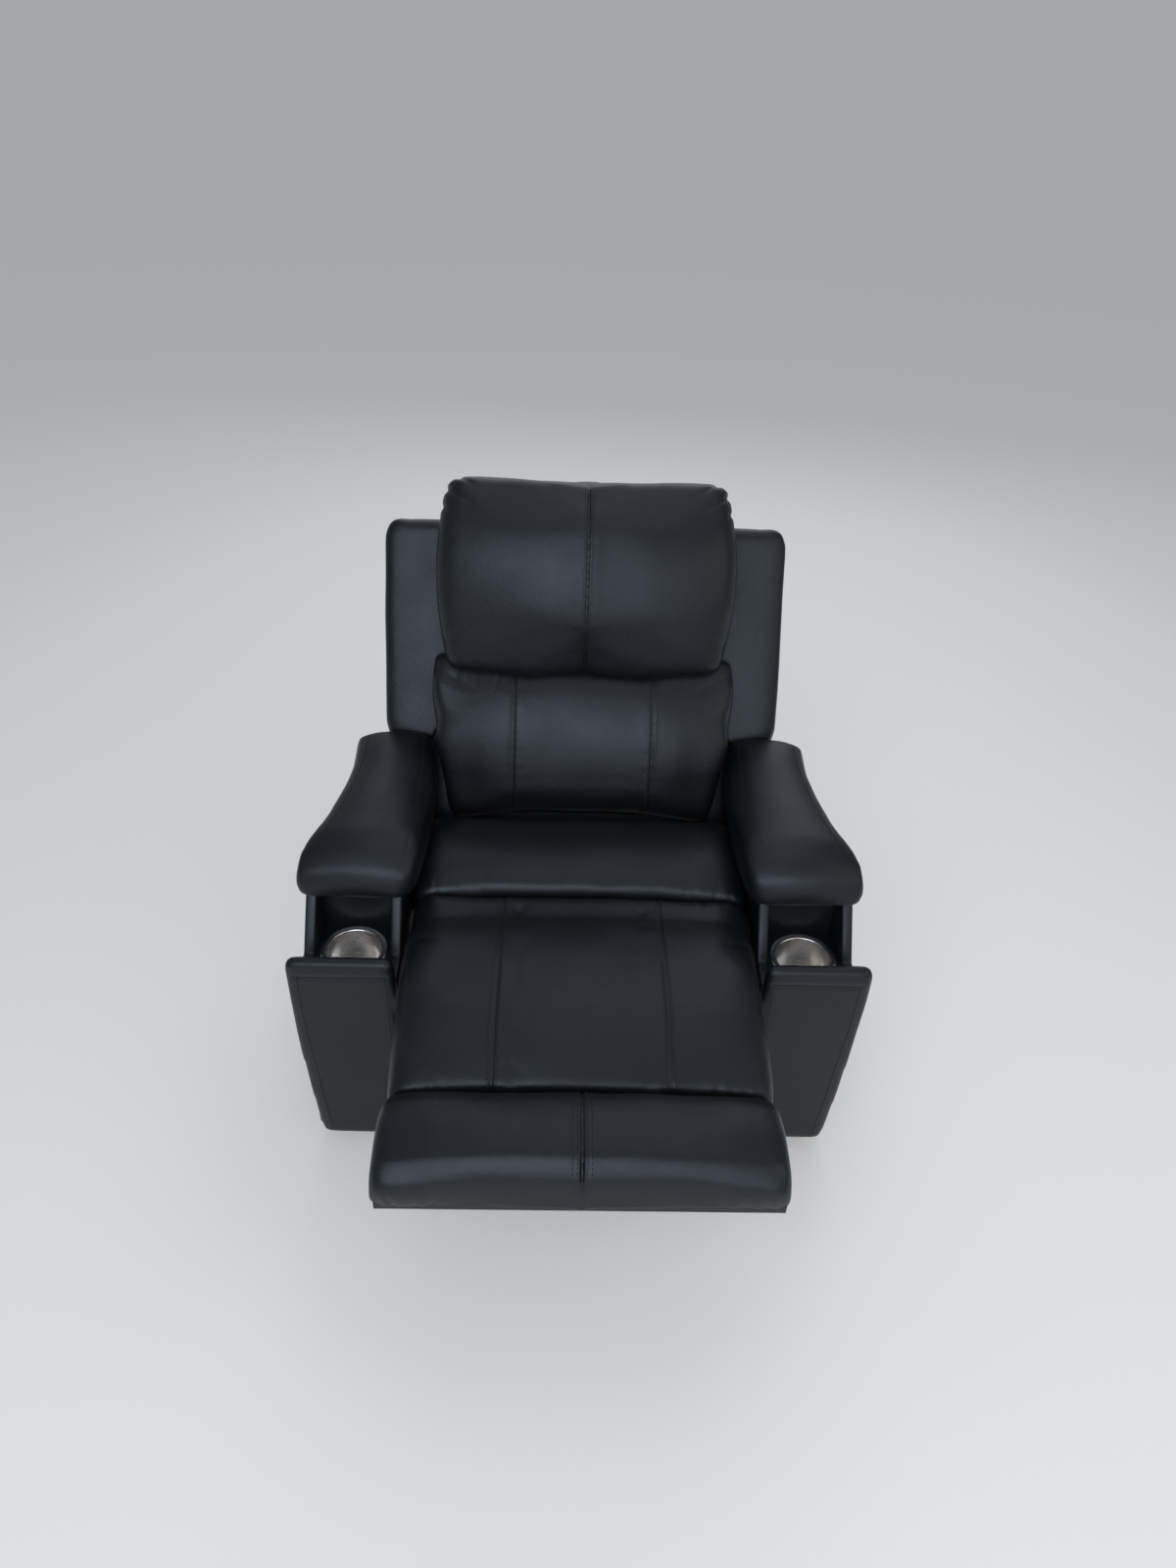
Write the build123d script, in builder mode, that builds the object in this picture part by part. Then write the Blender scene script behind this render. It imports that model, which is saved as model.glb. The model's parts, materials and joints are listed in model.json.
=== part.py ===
from build123d import *
import os
from math import atan2, cos, degrees, hypot, radians, sin

# Power recliner with its leg rest out. Millimetres, +Z up, the floor at Z = 0.
# The front faces -Y. Left and right are as seen from the front, so right is +X.
# It is drawn with Y = 0 near the seat's rear, and kept with the origin on the floor under its middle.
# Each arm, and all that repeats on it, is drawn on the right and mirrored to the left.

# Feet
foot_height = 30
foot_radius = 20
foot_chamfer = 4
foot_inset = 42

# Arm boxes: a straight inner wall and an outer wall that slants in towards the rear
arm_inner_x = 312
arm_rear_width = 140
arm_front_y = -400
arm_rear_y = 90
arm_top_z = 530
arm_wall = 20
arm_board = 18
recess_z = 432
recess_slope_top_y = -288
recess_slope_low_y = -345

# Padded front panels, which narrow towards the floor
panel_thickness = 27
panel_top_z = 488
panel_overhang = 4.5
panel_taper = 19.5
panel_taper_from_z = 400
panel_corner = 15
panel_edge = 10

# Cup holders
cup_y = -332
cup_radius = 47.5
cup_wall = 1.2
cup_depth = 76
cup_flange_radius = 59
cup_flange = 2
cup_play = 0.5
cup_side_room = 17
cup_block_height = 100
cup_block_rear_y = -250
cup_riser = 12

# Arm pads: waisted on the inner side, flared on the outer side, curled over in front
pad_inner_overhang = 21
pad_waist = 19
pad_rear_outer_x = 437
pad_flare = 53
pad_height = 88
pad_crown = 14
pad_bulge = 6
pad_front_y = -312
pad_nose = 78
pad_nose_drop = 58
pad_rear_round = 10
pad_rear_overhang = 8
pad_corner = 26

# Cross rails between the arms
front_rail_y = -310
front_rail_z = 40
rail_depth = 40
front_rail_height = 35
rear_rail_y = 60
rear_rail_z = 50
rear_rail_height = 60

# Mechanism: steel side plates on the arms, cross tubes, and bars in layers beside the plates
plate_thickness = 4
plate_front_y = -165
plate_rear_y = 75
plate_low_z = 70
plate_rear_low_z = 150
plate_step_y = -95
seat_flange = 36
seat_flange_rear_y = -40
bar_thickness = 4
bar_gap = 2
bar_half_width = 12
pin_radius = 5
pin_fit = 0.05
pin_collar_radius = 8
pin_head = 1.3
face_play = 0.3
open_pivot_play = 0.3
tube_size = 30
tube_z = 170
front_tube_y = -60
rear_tube_y = 58
bolt_radius = 4
bolt_head_radius = 7
bolt_head = 5
bolt_length = 22
bolt_places = [(-60, 300), (-60, 125), (55, 235)]

# Lazy-tong leg-rest linkage, drawn out as in use
link_length = 268
link_rest_angle = 18
link_stow_angle = 73
drive_y = -130
drive_z = 352
guide_pin_radius = 6
guide_slot_play = 0.4
torque_tube_radius = 12.5
journal_radius = 7
bush_wall = 3
crank_x = -60
crank_arm = 80
crank_plate = 5
crank_half_gap = 10
crank_half_width = 19
crank_pin_radius = 6

# Leg rest
footrest_rear_gap = 14
footrest_length = 190
footrest_board = 15
footrest_rise = 53
bracket_flange = 30
bracket_reach = 140
footrest_pad_side = 8
footrest_pad_height = 78
footrest_pad_overhang = 6
footrest_pad_crown = 16
footrest_pad_slope = 26
footrest_pad_round = 24
chaise_side_gap = 15
chaise_low_z = 385
chaise_top_z = 506
chaise_crown = 18
chaise_round = 26
chaise_seam_x = 108
soft_gap = 0.3

# Seat
seat_front_y = -264
seat_rear_y = -35
seat_rail = 40
seat_frame_rise = 12
seat_side_gap = 12
seat_cushion_rear_y = -20
seat_top_z = 526
seat_crown = 22
seat_round = 30
spring_count = 5
spring_pitch = 96
spring_wire_radius = 1.8
spring_half_wave = 16
spring_waves = 6
spring_bend_radius = 7
spring_bend_share = 0.45

# Back, drawn along its own lean from the pivot
back_pivot_y = 30
back_pivot_z = 340
back_lean = 26
back_low = 24
back_notch = 280
back_top = 676
back_half_width = 385
back_side_gap = 32
back_front = 55
back_foam_rear = -20
back_board_rear = -38
back_rear = -55
back_corner = 48
back_edge = 16
back_board_inset = 10
back_bracket_length = 190
back_bracket_half_width = 24
back_tube_radius = 12
back_pin_radius = 8
lever_x = 60
lever_arm = 90
lever_swing = 16
lumbar_low = 128
lumbar_top = 418
lumbar_depth = 92
lumbar_half_width = 290
lumbar_arm_gap = 10
lumbar_step = 300
lumbar_low_round = 14
lumbar_crown = 34
lumbar_seam_x = 118
pillow_low = 420
pillow_top = 756
pillow_depth = 122
pillow_half_width = 286
pillow_crown = 34
cushion_round = 34
cushion_bulge = 6
end_draw = 0.25
nose_draw = 0.5
across_crown = 10
seam_pinch = 7
seam_valley = 14

# Actuators under the seat
rail_half_width = 14
rail_height = 22
carriage_half_length = 24
carriage_wall = 4
carriage_top = 18
yoke_half_width = 8
yoke_half_length = 20
yoke_slot_play = 1.2
yoke_floor = 3
lever_clearance = 1
leg_rail_front_y = -222
leg_rail_rear_y = 72
back_rail_front_y = -150
back_rail_rear_y = 88
gearbox_length = 56
gearbox_half_width = 26
gearbox_rise = 24
motor_radius = 24
motor_length = 70

# Switch on the outer side of the right arm, control box and power inlet
switch_y = -190
switch_drop = 60
bezel_width = 96
bezel_height = 54
bezel_thickness = 3
bezel_corner = 10
housing_width = 84
housing_height = 42
housing_depth = 18
housing_play = 0.5
button_width = 26
button_height = 30
button_pitch = 38
button_stand = 3
button_depth = 11.5
button_play = 0.3
button_travel = 2
button_edge = 2
box_x = -170
box_width = 120
box_depth = 55
box_height = 50
inlet_x = 200
inlet_width = 32
inlet_height = 26
inlet_depth = 16
inlet_bore_radius = 8
inlet_bore_depth = 12

# Widths that follow from the arms and from the cups in them
arm_front_width = 2 * (arm_wall + cup_flange_radius) + cup_side_room
pad_inner_x = arm_inner_x - pad_inner_overhang
chaise_half_width = arm_inner_x - chaise_side_gap
seat_half_width = arm_inner_x - seat_side_gap
back_low_half_width = arm_inner_x - back_side_gap
lumbar_low_half_width = pad_inner_x - pad_waist - lumbar_arm_gap

# Layers of the mechanism, from the arm inwards
plate_x = arm_inner_x - plate_thickness
outer_layer_x = plate_x - bar_gap - bar_thickness
inner_layer_x = outer_layer_x - bar_gap - bar_thickness
bracket_layer_x = inner_layer_x - bar_gap - bar_thickness
layer_step = bar_thickness + bar_gap
footrest_half_width = bracket_layer_x + bar_thickness
footrest_pad_half_width = footrest_half_width + footrest_pad_side

# Pivots of the linkage in side view, as (y, z)
link_run = link_length * cos(radians(link_rest_angle))
link_drop = link_length * sin(radians(link_rest_angle))
drive_pivot = (drive_y, drive_z)
guide_pin = (drive_y, drive_z - link_drop)
knee_low = (drive_y - link_run, drive_z - link_drop)
knee_high = (drive_y - link_run, drive_z)
toe_pivot = (drive_y - 2 * link_run, drive_z)
mid_rear = (drive_y - link_run / 2, drive_z - link_drop / 2)
mid_front = (drive_y - 1.5 * link_run, drive_z - link_drop / 2)
guide_low_z = drive_z - link_length * sin(radians(link_stow_angle))
crank_swing = (link_stow_angle - link_rest_angle) / 2
crank_pin = (drive_y - crank_arm * sin(radians(crank_swing)),
             drive_z - crank_arm * cos(radians(crank_swing)))

# Heights and places that follow from the sizes above
arm_low_z = foot_height
pad_top_z = arm_top_z + pad_height
switch_z = arm_top_z - switch_drop
seat_frame_z = drive_z + bar_half_width + seat_frame_rise
seat_base_z = seat_frame_z + seat_rail
footrest_board_z = drive_z + footrest_rise
footrest_rear_y = toe_pivot[0] + footrest_rear_gap
footrest_front_y = footrest_rear_y - footrest_length
footrest_pad_rear_y = footrest_rear_y + footrest_pad_overhang
footrest_pad_front_y = footrest_front_y - footrest_pad_overhang
rail_z = tube_z + tube_size
carriage_z = rail_z + rail_height + face_play
lever_pin = (back_pivot_y + lever_arm * sin(radians(lever_swing)),
             back_pivot_z - lever_arm * cos(radians(lever_swing)))


def outer_face_x(y):
    """Outer face of the right arm's slanted wall at a given depth."""
    share = (y - arm_front_y) / (arm_rear_y - arm_front_y)
    return arm_inner_x + arm_front_width + (arm_rear_width - arm_front_width) * share


# Middle of the chair's depth, between the front of the leg rest and the top of the back
front_end_y = footrest_pad_front_y - cushion_bulge
rear_end_y = back_pivot_y + back_top * sin(radians(back_lean)) - back_rear * cos(radians(back_lean))
to_middle = Location((0, -(front_end_y + rear_end_y) / 2, 0))


def keep(piece, label):
    """Label a finished piece and write it to its own file, with the origin under the chair's middle."""
    placed = piece.part.moved(to_middle)
    placed.label = label
    export_step(placed, f"parts/{label}.step")


def keep_pair(piece, label):
    """Keep a right-hand piece, and its mirror image on the left."""
    with BuildPart() as other:
        mirror(piece.part, about=Plane.YZ)
    keep(other, f"{label}_left")
    keep(piece, f"{label}_right")


def keep_both(piece, label):
    """Keep a right-hand piece and its mirror image together, in one file."""
    with BuildPart() as both:
        add(piece.part)
        mirror(piece.part, about=Plane.YZ)
    keep(both, label)


def plan_strip(z, x_near, x_far, y_front, y_rear):
    """Plan outline between two side lines, each given as a function of depth."""
    with BuildSketch(Plane.XY.offset(z)) as plan:
        with BuildLine():
            Polyline((x_near(y_front), y_front), (x_far(y_front), y_front),
                     (x_far(y_rear), y_rear), (x_near(y_rear), y_rear), close=True)
        make_face()
    return plan.sketch


def recess_cut(x):
    """Side view of the step in an arm wall beside the cup."""
    over = arm_top_z + arm_wall
    with BuildSketch(Plane.YZ.offset(x)) as cut:
        with BuildLine():
            Polyline((arm_front_y - arm_wall, recess_z), (recess_slope_low_y, recess_z),
                     (recess_slope_top_y, arm_top_z), (recess_slope_top_y, over),
                     (arm_front_y - arm_wall, over), close=True)
        make_face()
    return cut.sketch


def disc(x, place, radius):
    """Circle in side view."""
    with BuildSketch(Plane.YZ.offset(x)) as outline:
        with Locations(place):
            Circle(radius)
    return outline.sketch


def bar(x, start, end, half_width, holes):
    """Flat bar with round ends between two pivots in side view, with its holes."""
    run = (end[0] - start[0], end[1] - start[1])
    middle = (start[0] + run[0] / 2, start[1] + run[1] / 2)
    with BuildSketch(Plane.YZ.offset(x)) as outline:
        with Locations(middle):
            SlotCenterToCenter(hypot(*run), 2 * half_width, rotation=degrees(atan2(run[1], run[0])))
        for place, radius in holes:
            with Locations(place):
                Circle(radius, mode=Mode.SUBTRACT)
    return outline.sketch


def box_between(low, high):
    """Box between two opposite corners, in the part being built."""
    with Locations(tuple((low[i] + high[i]) / 2 for i in range(3))):
        Box(*[high[i] - low[i] for i in range(3)])


def quarter_round(length, drop):
    """Distance in from a cushion's end, and drop of its surface there, on a quarter ellipse."""
    return [(length * (1 - cos(radians(a))), drop * (1 - sin(radians(a)))) for a in (0, 30, 60, 90)]


def crowned_section(plane, u_range, v_range, crown, bulge, slope=0):
    """Cross section of a cushion: flat base, sides that bulge, and a crowned top.

    The far shoulder lies lower than the near one by the slope.
    """
    near, far = u_range
    base, top = v_range
    near_shoulder = top - crown
    far_shoulder = near_shoulder - slope
    with BuildSketch(plane) as section:
        with BuildLine():
            Line((near, base), (far, base))
            ThreePointArc((far, base), (far + bulge, (base + far_shoulder) / 2), (far, far_shoulder))
            ThreePointArc((far, far_shoulder), ((near + far) / 2, top - slope / 3), (near, near_shoulder))
            ThreePointArc((near, near_shoulder), (near - bulge, (base + near_shoulder) / 2), (near, base))
        make_face()
    return section.sketch


def across(half_width, edge_round, seams):
    """Places across a cushion's width, and how far its section is drawn in at each."""
    ends = quarter_round(edge_round, edge_round)
    places = [(-half_width + inward, drop) for inward, drop in ends]
    for seam in seams:
        places += [(seam - seam_valley, 0), (seam, seam_pinch), (seam + seam_valley, 0)]
    if not seams:
        places += [(-half_width / 2, 0), (0, 0), (half_width / 2, 0)]
    places += [(half_width - inward, drop) for inward, drop in reversed(ends)]
    return [(x, drop + across_crown * (x / half_width) ** 2) for x, drop in places]


os.makedirs("parts", exist_ok=True)
print(f"drawn middle moved to the origin by {to_middle.position.Y:.3f} mm")

# Feet
foot_x = arm_inner_x + arm_rear_width / 2
with BuildPart() as floor_glides:
    for x in (-foot_x, foot_x):
        for y in (arm_front_y + foot_inset, arm_rear_y - foot_inset):
            with Locations((x, y, foot_height / 2)):
                Cylinder(foot_radius, foot_height)
    chamfer(floor_glides.faces().filter_by(Axis.Z).group_by(Axis.Z)[0].edges(), foot_chamfer)
keep(floor_glides, "floor_glides")

# Arm walls and boards
wall_height = arm_top_z - arm_low_z
inner_wall_plan = plan_strip(arm_low_z, lambda y: arm_inner_x, lambda y: arm_inner_x + arm_wall,
                             arm_front_y, arm_rear_y)
with BuildPart() as arm_inner_wall:
    extrude(inner_wall_plan, amount=wall_height)
    extrude(recess_cut(arm_inner_x - arm_wall), amount=3 * arm_wall, mode=Mode.SUBTRACT)
    for place in bolt_places:
        extrude(disc(arm_inner_x, place, bolt_radius + pin_fit),
                amount=bolt_length - plate_thickness, mode=Mode.SUBTRACT)
keep_pair(arm_inner_wall, "arm_inner_wall")

outer_wall_plan = plan_strip(arm_low_z, lambda y: outer_face_x(y) - arm_wall, outer_face_x,
                             arm_front_y, arm_rear_y)
with BuildPart() as arm_outer_wall:
    extrude(outer_wall_plan, amount=wall_height)
    extrude(recess_cut(arm_inner_x + arm_wall), amount=arm_front_width, mode=Mode.SUBTRACT)

slant = atan2(arm_front_width - arm_rear_width, arm_rear_y - arm_front_y)
switch_plane = Plane(origin=(outer_face_x(switch_y), switch_y, switch_z),
                     x_dir=(-sin(slant), cos(slant), 0), z_dir=(cos(slant), sin(slant), 0))
with BuildPart() as arm_outer_wall_right:
    add(arm_outer_wall.part)
    with BuildSketch(switch_plane):
        Rectangle(housing_width + 2 * housing_play, housing_height + 2 * housing_play)
    extrude(amount=-2 * arm_wall, mode=Mode.SUBTRACT)
keep(arm_outer_wall_right, "arm_outer_wall_right")
with BuildPart() as arm_outer_wall_left:
    mirror(arm_outer_wall.part, about=Plane.YZ)
keep(arm_outer_wall_left, "arm_outer_wall_left")


def between_walls(z, y_front, y_rear):
    """Plan of the space between an arm's two walls."""
    return plan_strip(z, lambda y: arm_inner_x + arm_wall, lambda y: outer_face_x(y) - arm_wall,
                      y_front, y_rear)


with BuildPart() as arm_rear_wall:
    extrude(between_walls(arm_low_z, arm_rear_y - arm_wall, arm_rear_y), amount=wall_height)
keep_both(arm_rear_wall, "arm_rear_walls")

with BuildPart() as arm_base_board:
    extrude(between_walls(arm_low_z, arm_front_y, arm_rear_y - arm_wall), amount=arm_board)
keep_both(arm_base_board, "arm_base_boards")

with BuildPart() as arm_top_board:
    extrude(between_walls(arm_top_z - arm_board, cup_block_rear_y, arm_rear_y - arm_wall),
            amount=arm_board)
keep_both(arm_top_board, "arm_top_boards")

# Cup blocks, each with a riser that closes the recess behind the cup
cup_x = arm_inner_x + (outer_face_x(cup_y) - arm_inner_x) / 2
cup_rim_z = recess_z - cup_flange
with BuildPart() as cup_block:
    extrude(between_walls(cup_rim_z - cup_block_height, arm_front_y, cup_block_rear_y),
            amount=cup_block_height)
    extrude(between_walls(cup_rim_z, cup_block_rear_y - cup_riser, cup_block_rear_y),
            amount=arm_top_z - cup_rim_z)
    with Locations((cup_x, cup_y, cup_rim_z)):
        Hole(cup_radius + cup_wall + cup_play, depth=cup_depth + cup_wall + cup_play)
keep_pair(cup_block, "cup_block")

with BuildPart() as cup_holder:
    with BuildSketch(Plane.XZ):
        with BuildLine():
            Polyline((0, -cup_depth - cup_wall), (cup_radius + cup_wall, -cup_depth - cup_wall),
                     (cup_radius + cup_wall, 0), (cup_flange_radius, 0),
                     (cup_flange_radius, cup_flange), (cup_radius, cup_flange),
                     (cup_radius, -cup_depth), (0, -cup_depth), close=True)
        make_face()
    revolve(axis=Axis.Z)
cup_place = Location((cup_x, cup_y, cup_rim_z))
with BuildPart() as cup_holder_placed:
    add(cup_holder.part.moved(cup_place))
keep_pair(cup_holder_placed, "cup_holder")

# Front panels
panel_outer_x = arm_inner_x + arm_front_width + panel_overhang
panel_low_x = panel_outer_x - panel_taper
panel_mid_z = (panel_taper_from_z + arm_low_z) / 2
with BuildPart() as front_panel:
    with BuildSketch(Plane.XZ.offset(-arm_front_y)) as panel_face:
        with BuildLine():
            Line((arm_inner_x, arm_low_z), (panel_low_x, arm_low_z))
            ThreePointArc((panel_low_x, arm_low_z), (panel_outer_x - panel_taper / 3, panel_mid_z),
                          (panel_outer_x, panel_taper_from_z))
            Polyline((panel_outer_x, panel_taper_from_z), (panel_outer_x, panel_top_z),
                     (arm_inner_x, panel_top_z), (arm_inner_x, arm_low_z))
        make_face()
        fillet(panel_face.vertices().group_by(Axis.Z)[-1], panel_corner)
    extrude(amount=panel_thickness)
    fillet(front_panel.faces().sort_by(Axis.Y)[0].edges(), panel_edge)
    rear_top_edges = front_panel.faces().sort_by(Axis.Y)[-1].edges().filter_by(Axis.X)
    fillet(rear_top_edges.sort_by(Axis.Z)[-1], panel_edge)
keep_pair(front_panel, "front_panel")

# Arm pads, lofted from the rear to the curled nose
pad_rear_y = arm_rear_y + pad_rear_overhang
pad_length = pad_rear_y - pad_front_y


def pad_section(y, drop, draw):
    """Cross section of the right arm pad at a given depth, its sides drawn in at the corners."""
    share = (pad_rear_y - y) / pad_length
    inner = pad_inner_x - pad_waist * 4 * share * (1 - share)
    outer = pad_rear_outer_x + pad_flare * share ** 2
    return crowned_section(Plane.XZ.offset(-y), (inner + draw, outer - draw), (arm_top_z, pad_top_z - drop),
                           pad_crown, pad_bulge)


rear_stations = [(pad_rear_y - inward, drop, 0)
                 for inward, drop in quarter_round(pad_rear_round, pad_rear_round)]
mid_stations = [(pad_rear_y - pad_length * share, 0, 0) for share in (0.25, 0.45, 0.65)]
nose_stations = [(pad_front_y + inward, drop, pad_corner * (drop / pad_nose_drop) ** 2)
                 for inward, drop in reversed(quarter_round(pad_nose, pad_nose_drop))]
with BuildPart() as arm_pad:
    loft([pad_section(*station) for station in rear_stations + mid_stations + nose_stations], ruled=True)
keep_pair(arm_pad, "arm_pad")

# Cross rails
with BuildPart() as front_rail:
    box_between((-arm_inner_x, front_rail_y - rail_depth / 2, front_rail_z),
                (arm_inner_x, front_rail_y + rail_depth / 2, front_rail_z + front_rail_height))
keep(front_rail, "front_rail")

with BuildPart() as rear_rail:
    box_between((-arm_inner_x, rear_rail_y - rail_depth / 2, rear_rail_z),
                (arm_inner_x, rear_rail_y + rail_depth / 2, rear_rail_z + rear_rail_height))
keep(rear_rail, "rear_rail")

# Mechanism plates, with an inward flange that carries the seat frame
slot_radius = guide_pin_radius + guide_slot_play
bush_radius = journal_radius + pin_fit + bush_wall
with BuildPart() as mechanism_plate:
    with BuildSketch(Plane.YZ.offset(plate_x)):
        with BuildLine():
            Polyline((plate_front_y, plate_low_z), (plate_step_y, plate_low_z),
                     (plate_rear_y, plate_rear_low_z), (plate_rear_y, seat_frame_z),
                     (plate_front_y, seat_frame_z), close=True)
        make_face()
        with Locations((drive_y, (guide_low_z + guide_pin[1]) / 2)):
            SlotCenterToCenter(guide_pin[1] - guide_low_z, 2 * slot_radius, rotation=90,
                               mode=Mode.SUBTRACT)
        with Locations(drive_pivot):
            Circle(bush_radius + pin_fit, mode=Mode.SUBTRACT)
        with Locations((back_pivot_y, back_pivot_z)):
            Circle(back_pin_radius + pin_fit, mode=Mode.SUBTRACT)
        with Locations(*bolt_places):
            Circle(bolt_radius + pin_fit, mode=Mode.SUBTRACT)
    extrude(amount=plate_thickness)
    box_between((plate_x - seat_flange, plate_front_y, seat_frame_z - plate_thickness),
                (plate_x, seat_flange_rear_y, seat_frame_z))
keep_pair(mechanism_plate, "mechanism_plate")

with BuildPart() as torque_bush:
    extrude(disc(plate_x, drive_pivot, bush_radius), amount=plate_thickness)
    extrude(disc(plate_x, drive_pivot, journal_radius + pin_fit), amount=plate_thickness,
            mode=Mode.SUBTRACT)
keep_both(torque_bush, "torque_bushes")

with BuildPart() as back_pivot_pin:
    pin_inner_x = back_low_half_width + face_play
    extrude(disc(pin_inner_x, (back_pivot_y, back_pivot_z), back_pin_radius),
            amount=arm_inner_x - pin_inner_x)
keep_both(back_pivot_pin, "back_pivot_pins")

with BuildPart() as plate_bolt:
    for place in bolt_places:
        extrude(disc(plate_x - bolt_head, place, bolt_head_radius), amount=bolt_head)
        extrude(disc(plate_x, place, bolt_radius), amount=bolt_length)
keep_both(plate_bolt, "plate_bolts")

with BuildPart() as cross_tubes:
    for tube_y in (front_tube_y, rear_tube_y):
        box_between((-plate_x, tube_y - tube_size / 2, tube_z),
                    (plate_x, tube_y + tube_size / 2, tube_z + tube_size))
keep(cross_tubes, "cross_tubes")

# Linkage: each pin has a collar towards its own bar and a head beyond the bar that it carries


def outward_pin(x, place, reach):
    """Sketches and lengths of a pin that points towards the arm from a bar whose outer face is at x."""
    return [(disc(x, place, pin_radius), reach),
            (disc(x, place, pin_collar_radius), bar_gap - face_play),
            (disc(x + layer_step + face_play, place, pin_collar_radius), pin_head)]


def inward_pin(x, place):
    """Sketches and lengths of a pin that points away from the arm from a bar whose inner face is at x."""
    tail = layer_step + face_play + pin_head
    return [(disc(x - tail, place, pin_radius), tail),
            (disc(x - bar_gap + face_play, place, pin_collar_radius), bar_gap - face_play),
            (disc(x - tail, place, pin_collar_radius), pin_head)]


pin_reach = layer_step + face_play + pin_head
with BuildPart() as lower_link:
    extrude(bar(outer_layer_x, drive_pivot, knee_low, bar_half_width,
                [(drive_pivot, journal_radius + pin_fit)]), amount=bar_thickness)
    for place in (mid_rear, knee_low):
        for outline, length in inward_pin(outer_layer_x, place):
            extrude(outline, amount=length)
keep_both(lower_link, "lower_links")

with BuildPart() as front_link:
    extrude(bar(inner_layer_x, knee_low, toe_pivot, bar_half_width,
                [(knee_low, pin_radius + pin_fit)]), amount=bar_thickness)
    for outline, length in outward_pin(inner_layer_x + bar_thickness, mid_front, pin_reach):
        extrude(outline, amount=length)
    for outline, length in inward_pin(inner_layer_x, toe_pivot):
        extrude(outline, amount=length)
keep_both(front_link, "front_links")

with BuildPart() as cross_link:
    extrude(bar(inner_layer_x, guide_pin, knee_high, bar_half_width,
                [(mid_rear, pin_radius + pin_fit)]), amount=bar_thickness)
    for outline, length in outward_pin(inner_layer_x + bar_thickness, knee_high, pin_reach):
        extrude(outline, amount=length)
    guide_from_x = inner_layer_x + bar_thickness
    extrude(disc(guide_from_x, guide_pin, guide_pin_radius),
            amount=arm_inner_x - face_play - guide_from_x)
keep_both(cross_link, "cross_links")

with BuildPart() as half_link:
    extrude(bar(outer_layer_x, mid_front, knee_high, bar_half_width,
                [(mid_front, pin_radius + pin_fit), (knee_high, pin_radius + open_pivot_play)]),
            amount=bar_thickness)
keep_both(half_link, "half_links")

with BuildPart() as torque_tube:
    journal_end_x = arm_inner_x - face_play
    extrude(disc(-outer_layer_x, drive_pivot, torque_tube_radius), amount=2 * outer_layer_x)
    extrude(disc(-journal_end_x, drive_pivot, journal_radius), amount=2 * journal_end_x)
keep(torque_tube, "torque_tube")

# A lever is a pair of plates clamped on a tube, with a pin between their free ends


def lever_solids(x, hub, pin, tube_radius):
    """Sketches and lengths of a two-plate lever around a tube, and of its pin."""
    plates = [(bar(start, hub, pin, crank_half_width, [(hub, tube_radius + pin_fit)]), crank_plate)
              for start in (x - crank_half_gap - crank_plate, x + crank_half_gap)]
    return plates + [(disc(x - crank_half_gap, pin, crank_pin_radius), 2 * crank_half_gap)]


with BuildPart() as leg_crank:
    for outline, length in lever_solids(crank_x, drive_pivot, crank_pin, torque_tube_radius):
        extrude(outline, amount=length)
keep(leg_crank, "leg_crank")

# Footrest: brackets, board and pad
toe_y, toe_z = toe_pivot
bracket_top_z = footrest_board_z - bar_thickness
with BuildPart() as footrest_bracket:
    with BuildSketch(Plane.YZ.offset(bracket_layer_x)):
        with BuildLine():
            Polyline((toe_y + bar_half_width, toe_z), (toe_y + bar_half_width, bracket_top_z),
                     (toe_y - bracket_reach, bracket_top_z),
                     (toe_y - bracket_reach, bracket_top_z - bar_half_width),
                     (toe_y - bar_half_width, toe_z), close=True)
        make_face()
        with Locations(toe_pivot):
            Circle(bar_half_width)
            Circle(pin_radius + pin_fit, mode=Mode.SUBTRACT)
    extrude(amount=bar_thickness)
    box_between((bracket_layer_x + bar_thickness - bracket_flange, toe_y - bracket_reach, bracket_top_z),
                (bracket_layer_x + bar_thickness, toe_y + bar_half_width, footrest_board_z))
keep_both(footrest_bracket, "footrest_brackets")

with BuildPart() as footrest_board_piece:
    box_between((-footrest_half_width, footrest_front_y, footrest_board_z),
                (footrest_half_width, footrest_rear_y, footrest_board_z + footrest_board))
keep(footrest_board_piece, "footrest_board")

pad_base_z = footrest_board_z + footrest_board
with BuildPart() as footrest_pad:
    loft([crowned_section(Plane.YZ.offset(x),
                          (footrest_pad_front_y + drop * nose_draw,
                           footrest_pad_rear_y - cushion_bulge - drop * end_draw),
                          (pad_base_z, pad_base_z + footrest_pad_height - drop),
                          footrest_pad_crown, cushion_bulge, footrest_pad_slope)
          for x, drop in across(footrest_pad_half_width, footrest_pad_round, [0])], ruled=True)
keep(footrest_pad, "footrest_pad")

# Chaise pad between the seat and the footrest
with BuildPart() as chaise_pad:
    loft([crowned_section(Plane.YZ.offset(x),
                          (footrest_pad_rear_y + soft_gap + cushion_bulge + drop * end_draw,
                           seat_front_y - soft_gap - cushion_bulge - drop * end_draw),
                          (chaise_low_z, chaise_top_z - drop), chaise_crown, cushion_bulge)
          for x, drop in across(chaise_half_width, chaise_round, [-chaise_seam_x, chaise_seam_x])],
         ruled=True)
keep(chaise_pad, "chaise_pad")

# Seat frame of four rails, with springs between the front and rear ones
rail_inner_x = seat_half_width - seat_rail
with BuildPart() as seat_side_rail:
    box_between((rail_inner_x, seat_front_y, seat_frame_z),
                (seat_half_width, seat_rear_y, seat_base_z))
keep_pair(seat_side_rail, "seat_side_rail")

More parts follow.
